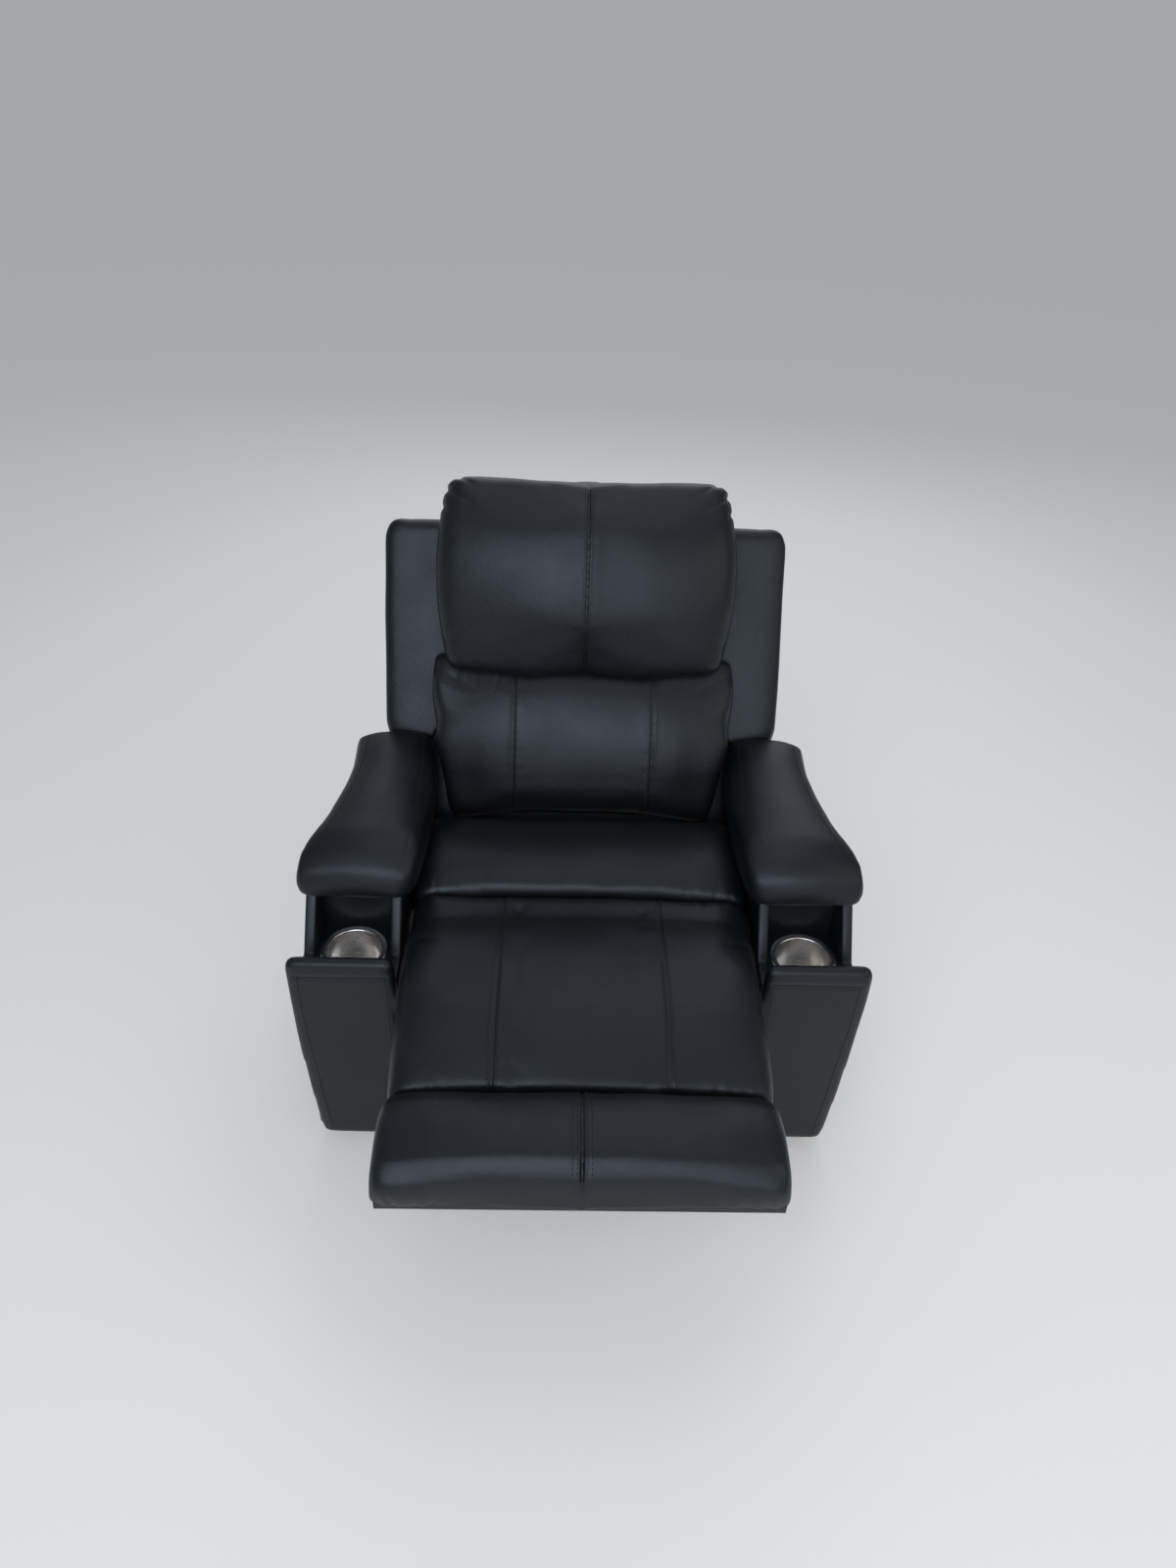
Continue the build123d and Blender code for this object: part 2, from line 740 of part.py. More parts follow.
for rail_y, rail_name in ((seat_front_y, "seat_front_rail"), (seat_rear_y - seat_rail, "seat_rear_rail")):
    with BuildPart() as seat_cross_rail:
        box_between((-rail_inner_x, rail_y, seat_frame_z),
                    (rail_inner_x, rail_y + seat_rail, seat_base_z))
    keep(seat_cross_rail, rail_name)

spring_z = seat_base_z - 3 * spring_wire_radius
spring_front_y = seat_front_y + seat_rail
spring_length = seat_rear_y - seat_rail - spring_front_y
spring_step = spring_length / (spring_waves + 1)
spring_lead_y = spring_front_y + spring_step / 2
spring_points = [(0, spring_front_y, spring_z), (0, spring_lead_y, spring_z)]
for wave in range(spring_waves):
    side = spring_half_wave if wave % 2 == 0 else -spring_half_wave
    wave_y = spring_lead_y + wave * spring_step
    spring_points += [(side, wave_y, spring_z), (side, wave_y + spring_step, spring_z)]
spring_points += [(0, spring_lead_y + spring_waves * spring_step, spring_z),
                  (0, spring_front_y + spring_length, spring_z)]
spring_bend = min(spring_bend_radius, spring_bend_share * spring_step)
with BuildPart() as seat_spring:
    with BuildLine() as spring_path:
        FilletPolyline(*spring_points, radius=spring_bend)
    with BuildSketch(Plane(origin=spring_path.line @ 0, z_dir=spring_path.line % 0)):
        Circle(spring_wire_radius)
    sweep()
with BuildPart() as seat_springs:
    for number in range(spring_count):
        offset_x = (number - (spring_count - 1) / 2) * spring_pitch
        add(seat_spring.part.moved(Location((offset_x, 0, 0))))
keep(seat_springs, "seat_springs")

with BuildPart() as seat_cushion:
    loft([crowned_section(Plane.YZ.offset(x),
                          (seat_front_y + cushion_bulge + drop * end_draw,
                           seat_cushion_rear_y - cushion_bulge - drop * end_draw),
                          (seat_base_z, seat_top_z - drop), seat_crown, cushion_bulge)
          for x, drop in across(seat_half_width, seat_round, [])], ruled=True)
keep(seat_cushion, "seat_cushion")

# Back, in planes that follow its lean
lean_up = (0, sin(radians(back_lean)), cos(radians(back_lean)))
lean_front = (0, -cos(radians(back_lean)), sin(radians(back_lean)))
back_face = Plane(origin=(0, back_pivot_y, back_pivot_z), x_dir=(1, 0, 0), z_dir=lean_front)


def back_section_plane(x):
    """Plane across the back: its first axis runs up the back, its second one forwards."""
    return Plane(origin=(x, back_pivot_y, back_pivot_z), x_dir=lean_up, z_dir=(1, 0, 0))


def back_outline(depth, inset):
    """Outline of the back, wide above the arms and narrow between them."""
    with BuildSketch(back_face.offset(depth)) as outline:
        with Locations((0, (back_notch + back_top) / 2)):
            RectangleRounded(2 * (back_half_width - inset), back_top - back_notch - 2 * inset,
                             back_corner - inset)
        with Locations((0, (back_low + back_notch + back_corner) / 2)):
            Rectangle(2 * (back_low_half_width - inset), back_notch + back_corner - back_low - 2 * inset)
    return outline.sketch


with BuildPart() as wing_shell:
    extrude(back_outline(back_foam_rear, 0), amount=back_front - back_foam_rear)
    fillet(wing_shell.faces().sort_by(Axis(origin=(0, 0, 0), direction=lean_front))[-1].edges(), back_edge)
keep(wing_shell, "wing_shell")

with BuildPart() as back_board:
    extrude(back_outline(back_board_rear, back_board_inset), amount=back_foam_rear - back_board_rear)
keep(back_board, "back_board")

with BuildPart() as rear_cover:
    extrude(back_outline(back_rear, 0), amount=back_board_rear - back_rear)
    fillet(rear_cover.faces().sort_by(Axis(origin=(0, 0, 0), direction=lean_front))[0].edges(),
           (back_board_rear - back_rear) / 2)
keep(rear_cover, "rear_cover")


def lumbar_section(x, drop):
    """Lumbar cushion's section: its lower edge rises at the sides, above the arm pads."""
    beyond = max(0, abs(x) - lumbar_low_half_width + lumbar_low_round)
    share = min(1, beyond / (2 * lumbar_low_round))
    low = lumbar_low + (lumbar_step - lumbar_low) * share
    return crowned_section(back_section_plane(x),
                           (low + drop * end_draw, lumbar_top - cushion_bulge - drop * end_draw),
                           (back_front + soft_gap, back_front + lumbar_depth - drop),
                           lumbar_crown, cushion_bulge)


lumbar_places = across(lumbar_half_width, cushion_round, [-lumbar_seam_x, lumbar_seam_x])
lumbar_shoulder_x = lumbar_low_half_width - lumbar_low_round
lumbar_shoulder_drop = across_crown * (lumbar_shoulder_x / lumbar_half_width) ** 2
lumbar_places += [(-lumbar_shoulder_x, lumbar_shoulder_drop), (lumbar_shoulder_x, lumbar_shoulder_drop)]
with BuildPart() as lumbar_cushion:
    loft([lumbar_section(x, drop) for x, drop in sorted(lumbar_places)], ruled=True)
keep(lumbar_cushion, "lumbar_cushion")

with BuildPart() as head_pillow:
    loft([crowned_section(back_section_plane(x),
                          (pillow_low + cushion_bulge + drop * end_draw,
                           pillow_top - cushion_bulge - drop * nose_draw),
                          (back_front + soft_gap, back_front + pillow_depth - drop),
                          pillow_crown, cushion_bulge)
          for x, drop in across(pillow_half_width, cushion_round, [0])], ruled=True)
keep(head_pillow, "head_pillow")

# Steel on the back: side brackets joined by a pivot tube, and the lever below it
bracket_low_x = back_low_half_width
with BuildPart() as back_bracket:
    with BuildSketch(back_section_plane(bracket_low_x)):
        with Locations((back_bracket_length / 2, 0)):
            SlotCenterToCenter(back_bracket_length, 2 * back_bracket_half_width)
        Circle(back_pin_radius + pin_fit, mode=Mode.SUBTRACT)
    extrude(amount=bar_thickness)
keep_both(back_bracket, "back_brackets")

back_pivot = (back_pivot_y, back_pivot_z)
with BuildPart() as back_tube:
    extrude(disc(-back_low_half_width, back_pivot, back_tube_radius), amount=2 * back_low_half_width)
keep(back_tube, "back_tube")

with BuildPart() as back_lever:
    for outline, length in lever_solids(lever_x, back_pivot, lever_pin, back_tube_radius):
        extrude(outline, amount=length)
keep(back_lever, "back_lever")

# Actuators: a rail on the cross tubes, a motor at its front end and a carriage with a slotted yoke


def keep_actuator(name, x, pin, lowest_pin_z, rail_front_y, rail_rear_y):
    """Make and keep the three pieces of one actuator, for a lever pin at rest that dips as it swings."""
    with BuildPart() as rail:
        box_between((x - rail_half_width, rail_front_y, rail_z),
                    (x + rail_half_width, rail_rear_y, rail_z + rail_height))
    keep(rail, f"{name}_actuator_rail")

    box_front_y = rail_front_y - gearbox_length
    motor_z = rail_z - motor_radius
    with BuildPart() as motor:
        box_between((x - gearbox_half_width, box_front_y, motor_z - motor_radius),
                    (x + gearbox_half_width, rail_front_y, rail_z + gearbox_rise))
        fillet(motor.edges().filter_by(Axis.Y), bar_half_width / 2)
        with BuildSketch(Plane.XZ.offset(-rail_front_y)):
            with Locations((x, motor_z)):
                Circle(motor_radius)
        extrude(amount=-motor_length)
    keep(motor, f"{name}_motor")

    slot_half = crank_pin_radius + yoke_slot_play
    outer_x = rail_half_width + face_play + carriage_wall
    yoke_top_z = pin[1] + 2 * crank_pin_radius
    block_top_z = min(carriage_z + carriage_top, lowest_pin_z - crank_half_width - lever_clearance)
    with BuildPart() as carriage:
        box_between((x - outer_x, pin[0] - carriage_half_length, rail_z + rail_height / 2),
                    (x + outer_x, pin[0] + carriage_half_length, block_top_z))
        box_between((x - yoke_half_width, pin[0] - yoke_half_length, carriage_z),
                    (x + yoke_half_width, pin[0] + yoke_half_length, yoke_top_z))
        with Locations((x, pin[0], rail_z)):
            Box(2 * (rail_half_width + face_play), 4 * carriage_half_length,
                2 * (rail_height + face_play), mode=Mode.SUBTRACT)
        slot_low_z = lowest_pin_z - crank_pin_radius - yoke_floor
        with Locations((x, pin[0], (slot_low_z + yoke_top_z + carriage_top) / 2)):
            Box(4 * yoke_half_width, 2 * slot_half, yoke_top_z + carriage_top - slot_low_z,
                mode=Mode.SUBTRACT)
    keep(carriage, f"{name}_carriage")


keep_actuator("leg", crank_x, crank_pin, drive_z - crank_arm, leg_rail_front_y, leg_rail_rear_y)
keep_actuator("back", lever_x, lever_pin, back_pivot_z - lever_arm, back_rail_front_y, back_rail_rear_y)

# Switch: a bezel with its housing, and two push buttons
button_places = [(-button_pitch / 2, 0), (button_pitch / 2, 0)]
pocket_depth = button_depth + button_travel + face_play
with BuildPart() as switch_bezel:
    with BuildSketch(switch_plane):
        RectangleRounded(bezel_width, bezel_height, bezel_corner)
    extrude(amount=bezel_thickness)
    with BuildSketch(switch_plane):
        Rectangle(housing_width, housing_height)
    extrude(amount=-housing_depth)
    with BuildSketch(switch_plane.offset(bezel_thickness)):
        with Locations(*button_places):
            Rectangle(button_width + 2 * button_play, button_height + 2 * button_play)
    extrude(amount=-bezel_thickness - pocket_depth, mode=Mode.SUBTRACT)
keep(switch_bezel, "switch_bezel")

for place, button_name in zip(button_places, ("close_button", "open_button")):
    with BuildPart() as button:
        with BuildSketch(switch_plane.offset(-button_depth)):
            with Locations(place):
                Rectangle(button_width, button_height)
        extrude(amount=button_depth + bezel_thickness + button_stand)
        outer_end = button.faces().sort_by(Axis(origin=(0, 0, 0), direction=switch_plane.z_dir))[-1]
        fillet(outer_end.edges(), button_edge)
    keep(button, button_name)

# Control box on the rear rail, and the power inlet behind it
rear_rail_front_y = rear_rail_y - rail_depth / 2
rear_rail_rear_y = rear_rail_y + rail_depth / 2
rail_mid_z = rear_rail_z + rear_rail_height / 2
with BuildPart() as control_box:
    box_between((box_x - box_width / 2, rear_rail_front_y - box_depth, rail_mid_z - box_height / 2),
                (box_x + box_width / 2, rear_rail_front_y, rail_mid_z + box_height / 2))
    fillet(control_box.edges().filter_by(Axis.Y), bar_half_width / 2)
keep(control_box, "control_box")

with BuildPart() as power_inlet:
    box_between((inlet_x - inlet_width / 2, rear_rail_rear_y, rail_mid_z - inlet_height / 2),
                (inlet_x + inlet_width / 2, rear_rail_rear_y + inlet_depth, rail_mid_z + inlet_height / 2))
    with BuildSketch(Plane.XZ.offset(-rear_rail_rear_y - inlet_depth)):
        with Locations((inlet_x, rail_mid_z)):
            Circle(inlet_bore_radius)
    extrude(amount=inlet_bore_depth, mode=Mode.SUBTRACT)
keep(power_inlet, "power_inlet")
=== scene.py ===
"""Looks of a power recliner in black leather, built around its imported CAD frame. Metres, +Z up."""
import json
import math
from collections import namedtuple

import bmesh
import bpy
import numpy as np
from mathutils import Matrix, Vector, noise
from mathutils.bvhtree import BVHTree


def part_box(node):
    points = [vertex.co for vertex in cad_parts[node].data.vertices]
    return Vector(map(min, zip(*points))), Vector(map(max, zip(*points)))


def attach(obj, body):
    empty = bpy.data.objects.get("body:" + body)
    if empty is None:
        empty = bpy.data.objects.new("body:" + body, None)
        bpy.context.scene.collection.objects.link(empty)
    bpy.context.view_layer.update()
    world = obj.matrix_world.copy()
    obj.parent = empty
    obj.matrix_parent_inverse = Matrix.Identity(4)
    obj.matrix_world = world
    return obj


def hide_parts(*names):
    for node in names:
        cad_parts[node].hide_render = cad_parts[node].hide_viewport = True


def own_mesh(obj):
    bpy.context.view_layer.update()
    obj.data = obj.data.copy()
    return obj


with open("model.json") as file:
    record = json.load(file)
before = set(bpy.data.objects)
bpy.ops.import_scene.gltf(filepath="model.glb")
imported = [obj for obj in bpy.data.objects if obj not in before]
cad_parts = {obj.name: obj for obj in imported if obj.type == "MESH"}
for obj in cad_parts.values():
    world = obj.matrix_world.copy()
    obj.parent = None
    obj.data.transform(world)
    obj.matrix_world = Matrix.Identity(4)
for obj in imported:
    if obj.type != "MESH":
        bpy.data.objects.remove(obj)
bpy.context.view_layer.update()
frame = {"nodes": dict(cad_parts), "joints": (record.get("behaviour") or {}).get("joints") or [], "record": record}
MM = 0.001

# The photograph's camera, in the chair's own frame
CAMERA_PLACE = (-0.049, -1.474, 1.816)
CAMERA_PITCH = math.radians(36.47)
CAMERA_YAW = math.radians(2.1)
CAMERA_ROLL = math.radians(-2.54)
FOCAL_PIXELS = 1110
FRAME_HEIGHT = 1600
SENSOR_MM = 36

# The back leans from its pivot: a point on it is given across, up the back, and forwards
BACK_LEAN = math.radians(26)
BACK_UP = Vector((0, math.sin(BACK_LEAN), math.cos(BACK_LEAN)))
BACK_FRONT = Vector((0, -math.cos(BACK_LEAN), math.sin(BACK_LEAN)))
BACK_PIVOT = Vector(next(j["pos_m"] for j in frame["joints"] if j["name"] == "back_recline"))

UP = Vector((0, 0, 1))
DOWN = Vector((0, 0, -1))
FORWARD = Vector((0, -1, 0))
REARWARD = Vector((0, 1, 0))
SIDES = (("left", -1), ("right", 1))

# Upholstery work: the covers' meshes, and the pressure that blows them up
VOXEL = 6 * MM
WIDE_VOXEL = 8 * MM
WIDE_COVERS = ("wing_shell", "rear_cover")
WELD = 0.02 * MM
TINY = 1e-9
PRESSURE = 4
SIM_FRAMES = 20
SMOOTH_ROUNDS = 8
EVEN_ROUNDS = 40
SETTLE_ROUNDS = 4
REACH_SPAN = 0.07

# How squarely a surface faces its support to rest on it, and a seam's side to be pressed in
RESTS_FROM = 0.3
RESTS_FULLY = 0.8
PRESSED_FROM = 0.05
PRESSED_FULLY = 0.35

# A seam is a pressed line with a low ridge, whose place is counted in widths of the line
SEAM_DEPTH = 2.2 * MM
SEAM_WIDTH = 2.8 * MM
RIDGE_SHARE = 0.2
RIDGE_PLACE = 1.9

# Stitches, placed by rays that start far off the cover
FAR = 1.5
STITCH_PITCH = 5 * MM
LONGEST_STITCH = 3 * STITCH_PITCH
STITCH_FILL = 0.7
THREAD_RADIUS = 0.85 * MM
THREAD_LIFT = THREAD_RADIUS / 3
TWIN_ROW = 7 * MM
REAR_ROW = 6 * MM
ROW_END = 12 * MM

# Seams across the chair: those of chaise and lumbar cushion as photographed, the outer back's chosen
CHAISE_SEAM_X = 0.137
LUMBAR_SEAM_X = 0.132
REAR_SEAM_X = 0.2

# Channels of the solids, stuffed where no seam is sewn
CHAISE_CHANNEL_X = 0.108
LUMBAR_CHANNEL_X = 0.118

# The back's shell: its half widths between and above the arms, and how far it is let out to them
STEM_X = 0.28
WING_X = 0.385
NOTCH_UP = 0.28
WING_TOP_UP = 0.676
STEM_EASE = 27 * MM
WING_DROP = 34 * MM
WING_CORNER_DROP = 14 * MM
WING_CORNER_RISE = 13 * MM

# Where that letting out fades: a place across, then distances from the places above
STEM_FADE_X = 0.2
NOTCH_FADE_LOW = 0.03
NOTCH_FADE_HIGH = 0.02
DROP_SPAN = 0.14
RISE_START = 0.12
RISE_END = 0.02
WING_EDGE = 0.05
WING_ROOT_IN = 0.01
WING_ROOT_OUT = 0.02


def on_back(x, up, front):
    """Point on the back from its place across, up the back and forwards."""
    return BACK_PIVOT + Vector((x, 0, 0)) + BACK_UP * up + BACK_FRONT * front


def up_back(places):
    """How far up the back each of an array of points lies."""
    return (places - np.array(BACK_PIVOT)) @ np.array(BACK_UP)


def both_sides(x):
    """A place across the chair, on its left and on its right."""
    return [side * x for _, side in SIDES]


# Materials


def linear(hex_colour):
    """Linear colour of an sRGB hex value."""
    shares = [int(hex_colour[i:i + 2], 16) / 255 for i in (1, 3, 5)]
    return [s / 12.92 if s <= 0.04045 else ((s + 0.055) / 1.055) ** 2.4 for s in shares] + [1]


def add_node(tree, kind, inputs=None, **settings):
    """Add a node with its settings; an input that is a socket is linked, any other is set."""
    node = tree.nodes.new("ShaderNode" + kind)
    for name, value in settings.items():
        setattr(node, name, value)
    for name, value in (inputs or {}).items():
        if isinstance(value, bpy.types.NodeSocket):
            tree.links.new(value, node.inputs[name])
        else:
            node.inputs[name].default_value = value
    return node


def start_material(name):
    """Empty node material, and its surface's Object coordinates."""
    material = bpy.data.materials.new(name)
    material.use_nodes = True
    tree = material.node_tree
    tree.nodes.clear()
    return material, tree, add_node(tree, "TexCoord").outputs["Object"]


def per_mm(size):
    """Texture scale of a pattern whose repeat is a size in millimetres."""
    return 1 / (size * MM)


def end_material(tree, inputs):
    """Principled shader with these inputs, on the material's output."""
    shader = add_node(tree, "BsdfPrincipled", inputs)
    add_node(tree, "OutputMaterial", {"Surface": shader.outputs[0]})


def leather(name, hide, rubbed):
    """Polyurethane leather with a rolled pebble grain: satin, a little paler and duller where rubbed.

    The grain of about 1 mm is drawn at 2.2 mm, as coarse as it needs to show.
    """
    material, tree, place = start_material(name)
    pebbles = add_node(tree, "TexVoronoi", {"Vector": place, "Scale": per_mm(2.2)},
                       feature="SMOOTH_F1")
    pores = add_node(tree, "TexNoise", {"Vector": place, "Scale": per_mm(1.1), "Detail": 2})
    creases = add_node(tree, "TexNoise", {"Vector": place, "Scale": per_mm(26), "Detail": 5,
                                          "Distortion": 1.2})
    patches = add_node(tree, "TexNoise", {"Vector": place, "Scale": per_mm(95), "Detail": 3})
    colour = add_node(tree, "Mix", {"Factor": patches.outputs["Fac"], 6: linear(hide),
                                    7: linear(rubbed)}, data_type="RGBA")
    sheen = add_node(tree, "MapRange", {"Value": patches.outputs["Fac"], "From Min": 0.3,
                                        "From Max": 0.7, "To Min": 0.38, "To Max": 0.48})
    grain = add_node(tree, "Bump", {"Height": pebbles.outputs["Distance"], "Strength": 0.32,
                                    "Distance": 0.6 * MM})
    pored = add_node(tree, "Bump", {"Height": pores.outputs["Fac"], "Strength": 0.12,
                                    "Distance": 0.3 * MM, "Normal": grain.outputs[0]})
    creased = add_node(tree, "Bump", {"Height": creases.outputs["Fac"], "Strength": 0.12,
                                      "Distance": 3 * MM, "Normal": pored.outputs[0]})
    end_material(tree, {"Base Color": colour.outputs[2], "Roughness": sheen.outputs[0],
                        "IOR": 1.5, "Specular IOR Level": 0.42,
                        "Specular Tint": linear("#deecf5"), "Normal": creased.outputs[0],
                        "Coat Weight": 0.06, "Coat Roughness": 0.3})
    return material


def grainy(name, base, tint, grain_mm, roughness, spread, bump, stretch=(1, 1, 1), metallic=0):
    """Finish with an even fine texture: a colour that drifts to a tint, and a roughness that drifts."""
    material, tree, place = start_material(name)
    turned = add_node(tree, "Mapping", {"Vector": place, "Scale": stretch})
    fine = add_node(tree, "TexNoise", {"Vector": turned.outputs[0], "Scale": per_mm(grain_mm),
                                       "Detail": 4})
    wide = add_node(tree, "TexNoise", {"Vector": turned.outputs[0], "Scale": per_mm(14 * grain_mm),
                                       "Detail": 3})
    colour = add_node(tree, "Mix", {"Factor": wide.outputs["Fac"], 6: linear(base),
                                    7: linear(tint)}, data_type="RGBA")
    shine = add_node(tree, "MapRange", {"Value": fine.outputs["Fac"], "From Min": 0.25,
                                        "From Max": 0.75, "To Min": roughness - spread,
                                        "To Max": roughness + spread})
    relief = add_node(tree, "Bump", {"Height": fine.outputs["Fac"], "Strength": bump,
                                     "Distance": 0.5 * grain_mm * MM})
    end_material(tree, {"Base Color": colour.outputs[2], "Roughness": shine.outputs[0],
                        "Metallic": metallic, "Normal": relief.outputs[0]})
    return material


def make_materials():
    """One finish for each of the record's material slots, and the sewing thread."""
    return {
        # Satin black hide, with a slightly bluish bloom where it is rubbed
        "leather": leather("black_polyurethane_leather", "#090a0c", "#0f1013"),
        # Rotary-cut birch: pale, with long streaks across the chair
        "wood": grainy("birch_plywood", "#b99a6c", "#8f7146", grain_mm=5, roughness=0.62, spread=0.08,
                       bump=0.25, stretch=(0.08, 1, 1)),
        # Cambric, a thin plain-woven cotton: black, dull and even
        "black_cloth": grainy("black_cambric", "#131313", "#1a1a1a", grain_mm=1.5, roughness=0.85,
                              spread=0.06, bump=0.35),
        # Powder coat: black with a fine orange peel
        "mechanism_steel": grainy("black_powder_coat", "#1a1a1c", "#232326", grain_mm=1.6,
                                  roughness=0.46, spread=0.06, bump=0.3),
        # Brushed sheet steel: lines around the cup that draw highlights out upwards
        "stainless": grainy("brushed_stainless_steel", "#efedea", "#d6d4d1", grain_mm=2.5,
                            roughness=0.24, spread=0.06, bump=0.15, stretch=(0.12, 0.12, 3.2),
                            metallic=1),
        # ABS moulded with a spark-eroded skin: flat black with little shine
        "black_plastic": grainy("moulded_black_abs", "#17171a", "#1f1f22", grain_mm=1.2,
                                roughness=0.5, spread=0.05, bump=0.25),
        # Undyed nylon: milky, with a soft waxy shine
        "nylon": grainy("natural_nylon", "#cfcbbd", "#bdb8a6", grain_mm=2, roughness=0.42,
                        spread=0.05, bump=0.1),
        # Bright zinc: fine crystal spangle
        "zinc": grainy("zinc_plated_steel", "#b4b6b5", "#92969a", grain_mm=1.5, roughness=0.34,
                       spread=0.08, bump=0.12, metallic=1),
        # Moulded polypropylene: black and dull
        "glide_plastic": grainy("moulded_polypropylene", "#161616", "#1e1e1e", grain_mm=1.8,
                                roughness=0.55, spread=0.06, bump=0.2),
        # Half-gloss ABS: a clearer shine than the bezel around it
        "key_plastic": grainy("half_gloss_abs", "#26272a", "#2c2d31", grain_mm=1.4, roughness=0.3,
                              spread=0.04, bump=0.1),
        # Bonded polyester thread, dyed with the hide: dull
        "thread": grainy("black_polyester_thread", "#050506", "#08080a", grain_mm=0.8,
                         roughness=0.75, spread=0.08, bump=0.3),
    }


MATERIALS = make_materials()


def dress_frame():
    """Give every CAD node the finish of its material slot."""
    for part in frame["record"]["subparts"]:
        slots = frame["nodes"][part["node"]].data.materials
        slots.clear()
        slots.append(MATERIALS[part["material_slot"]])


# Mesh work


def new_piece(name, mesh, material):
    """New object of a mesh, in one finish."""
    mesh.materials.clear()
    mesh.materials.append(MATERIALS[material])
    piece = bpy.data.objects.new(name, mesh)
    bpy.context.scene.collection.objects.link(piece)
    return piece


def from_bmesh(name, shape, material, smooth=True):
    """New object of a bmesh, in one finish."""
    mesh = bpy.data.meshes.new(name)
    for face in shape.faces:
        face.smooth = smooth
    shape.to_mesh(mesh)
    shape.free()
    return new_piece(name, mesh, material)


def merged_copy(node):
    """Bmesh of a CAD node's surface with its loose triangles joined."""
    shape = bmesh.new()
    shape.from_mesh(frame["nodes"][node].data)
    bmesh.ops.remove_doubles(shape, verts=shape.verts, dist=WELD)
    return shape


def bake(piece):
    """Replace a piece's mesh by what its modifiers make of it."""
    graph = bpy.context.evaluated_depsgraph_get()
    made = bpy.data.meshes.new_from_object(piece.evaluated_get(graph))
    piece.modifiers.clear()
    piece.data = made


def points_of(mesh):
    """Places of a mesh's vertices as an array."""
    places = np.zeros(len(mesh.vertices) * 3, np.float32)
    mesh.vertices.foreach_get("co", places)
    return places.reshape(-1, 3).astype(float)


def normals_of(mesh):
    """Normals of a mesh's vertices as an array."""
    normals = np.zeros(len(mesh.vertices) * 3, np.float32)
    mesh.vertex_normals.foreach_get("vector", normals)
    return normals.reshape(-1, 3).astype(float)


def set_points(mesh, places):
    """Move a mesh's vertices."""
    mesh.vertices.foreach_set("co", places.astype(np.float32).ravel())
    mesh.update()


def smooth_step(values, low, high):
    """Soft step from 0 below low to 1 above high."""
    share = np.clip((values - low) / (high - low), 0, 1)
    return share * share * (3 - 2 * share)


# Padded covers: each starts as its CAD solid drawn in, and the stuffed ones are blown up under pressure
# The cap is how far the cloth may carry a cover out; thin padding over a board has a cap of 0

Pad = namedtuple("Pad", "node body rests_on draw_in cap fill")
PADS = [
    Pad("wing_shell", "back", -BACK_FRONT, 0, 0, 0.7),
    Pad("rear_cover", "back", BACK_FRONT, 0, 0, 0.5),
    Pad("lumbar_cushion", "back", -BACK_FRONT, 3 * MM, 22 * MM, 0.8),
    Pad("head_pillow", "back", -BACK_FRONT, 3 * MM, 28 * MM, 0.85),
    Pad("seat_cushion", "base", DOWN, 2 * MM, 10 * MM, 0.75),
    Pad("chaise_pad", "base", DOWN, 2 * MM, 10 * MM, 0.75),
    Pad("footrest_pad", "footrest", DOWN, 2 * MM, 14 * MM, 0.8),
]
for side_name, _ in SIDES:
    PADS.append(Pad("arm_pad_" + side_name, "base", DOWN, 2 * MM, 8 * MM, 0.85))
    PADS.append(Pad("front_panel_" + side_name, "base", REARWARD, 0, 0, 0.6))


def smooth(piece, rounds):
    """Even out a piece's surface."""
    shape = bmesh.new()
    shape.from_mesh(piece.data)
    for _ in range(rounds):
        bmesh.ops.smooth_vert(shape, verts=shape.verts, factor=0.5, use_axis_x=True,
                              use_axis_y=True, use_axis_z=True)
    shape.to_mesh(piece.data)
    shape.free()


def start_pad(pad):
    """Even mesh of a padded cover, drawn in except where it rests on something."""
    piece = from_bmesh(pad.node + "_cover", merged_copy(pad.node), "leather")
    remesh = piece.modifiers.new("remesh", "REMESH")
    remesh.mode = "VOXEL"
    remesh.voxel_size = WIDE_VOXEL if pad.node in WIDE_COVERS else VOXEL
    bake(piece)
    smooth(piece, SMOOTH_ROUNDS)
    normals = normals_of(piece.data)
    free = 1 - smooth_step(normals @ np.array(pad.rests_on), RESTS_FROM, RESTS_FULLY)
    places = points_of(piece.data) - normals * (pad.draw_in * free)[:, None]
    set_points(piece.data, places)
    return piece, places, free


def evened(mesh, values, rounds):
    """Vectors given at a mesh's vertices, spread among their neighbours."""
    ends = np.zeros(len(mesh.edges) * 2, np.int32)
    mesh.edges.foreach_get("vertices", ends)
    first, second = ends.reshape(-1, 2).T
    count = len(mesh.vertices)
    joined = np.bincount(ends, minlength=count)[:, None]
    for _ in range(rounds):
        around = [np.bincount(first, column[second], count) + np.bincount(second, column[first], count)
                  for column in values.T]
        values = (values + np.stack(around, axis=1) / joined) / 2
    return values


def blow_up(started):
    """Run the cloth of the covers together under pressure, and keep what it makes within each cap."""
    for _, (piece, _, _) in started:
        cloth = piece.modifiers.new("cloth", "CLOTH").settings
        cloth.use_pressure = True
        cloth.uniform_pressure_force = PRESSURE
        cloth.effector_weights.gravity = 0
    scene = bpy.context.scene
    for number in range(1, SIM_FRAMES + 1):
        scene.frame_set(number)
    graph = bpy.context.evaluated_depsgraph_get()
    blown = [points_of(piece.evaluated_get(graph).data) for _, (piece, _, _) in started]
    for (pad, (piece, places, free)), puffed in zip(started, blown):
        piece.modifiers.clear()
        move = puffed - places
        reach = np.linalg.norm(move, axis=1)
        share = free * np.minimum(1, pad.cap / np.maximum(reach, TINY))
        taut = evened(piece.data, move * share[:, None], EVEN_ROUNDS)
        set_points(piece.data, places + taut)
        smooth(piece, SETTLE_ROUNDS)
    scene.frame_set(1)


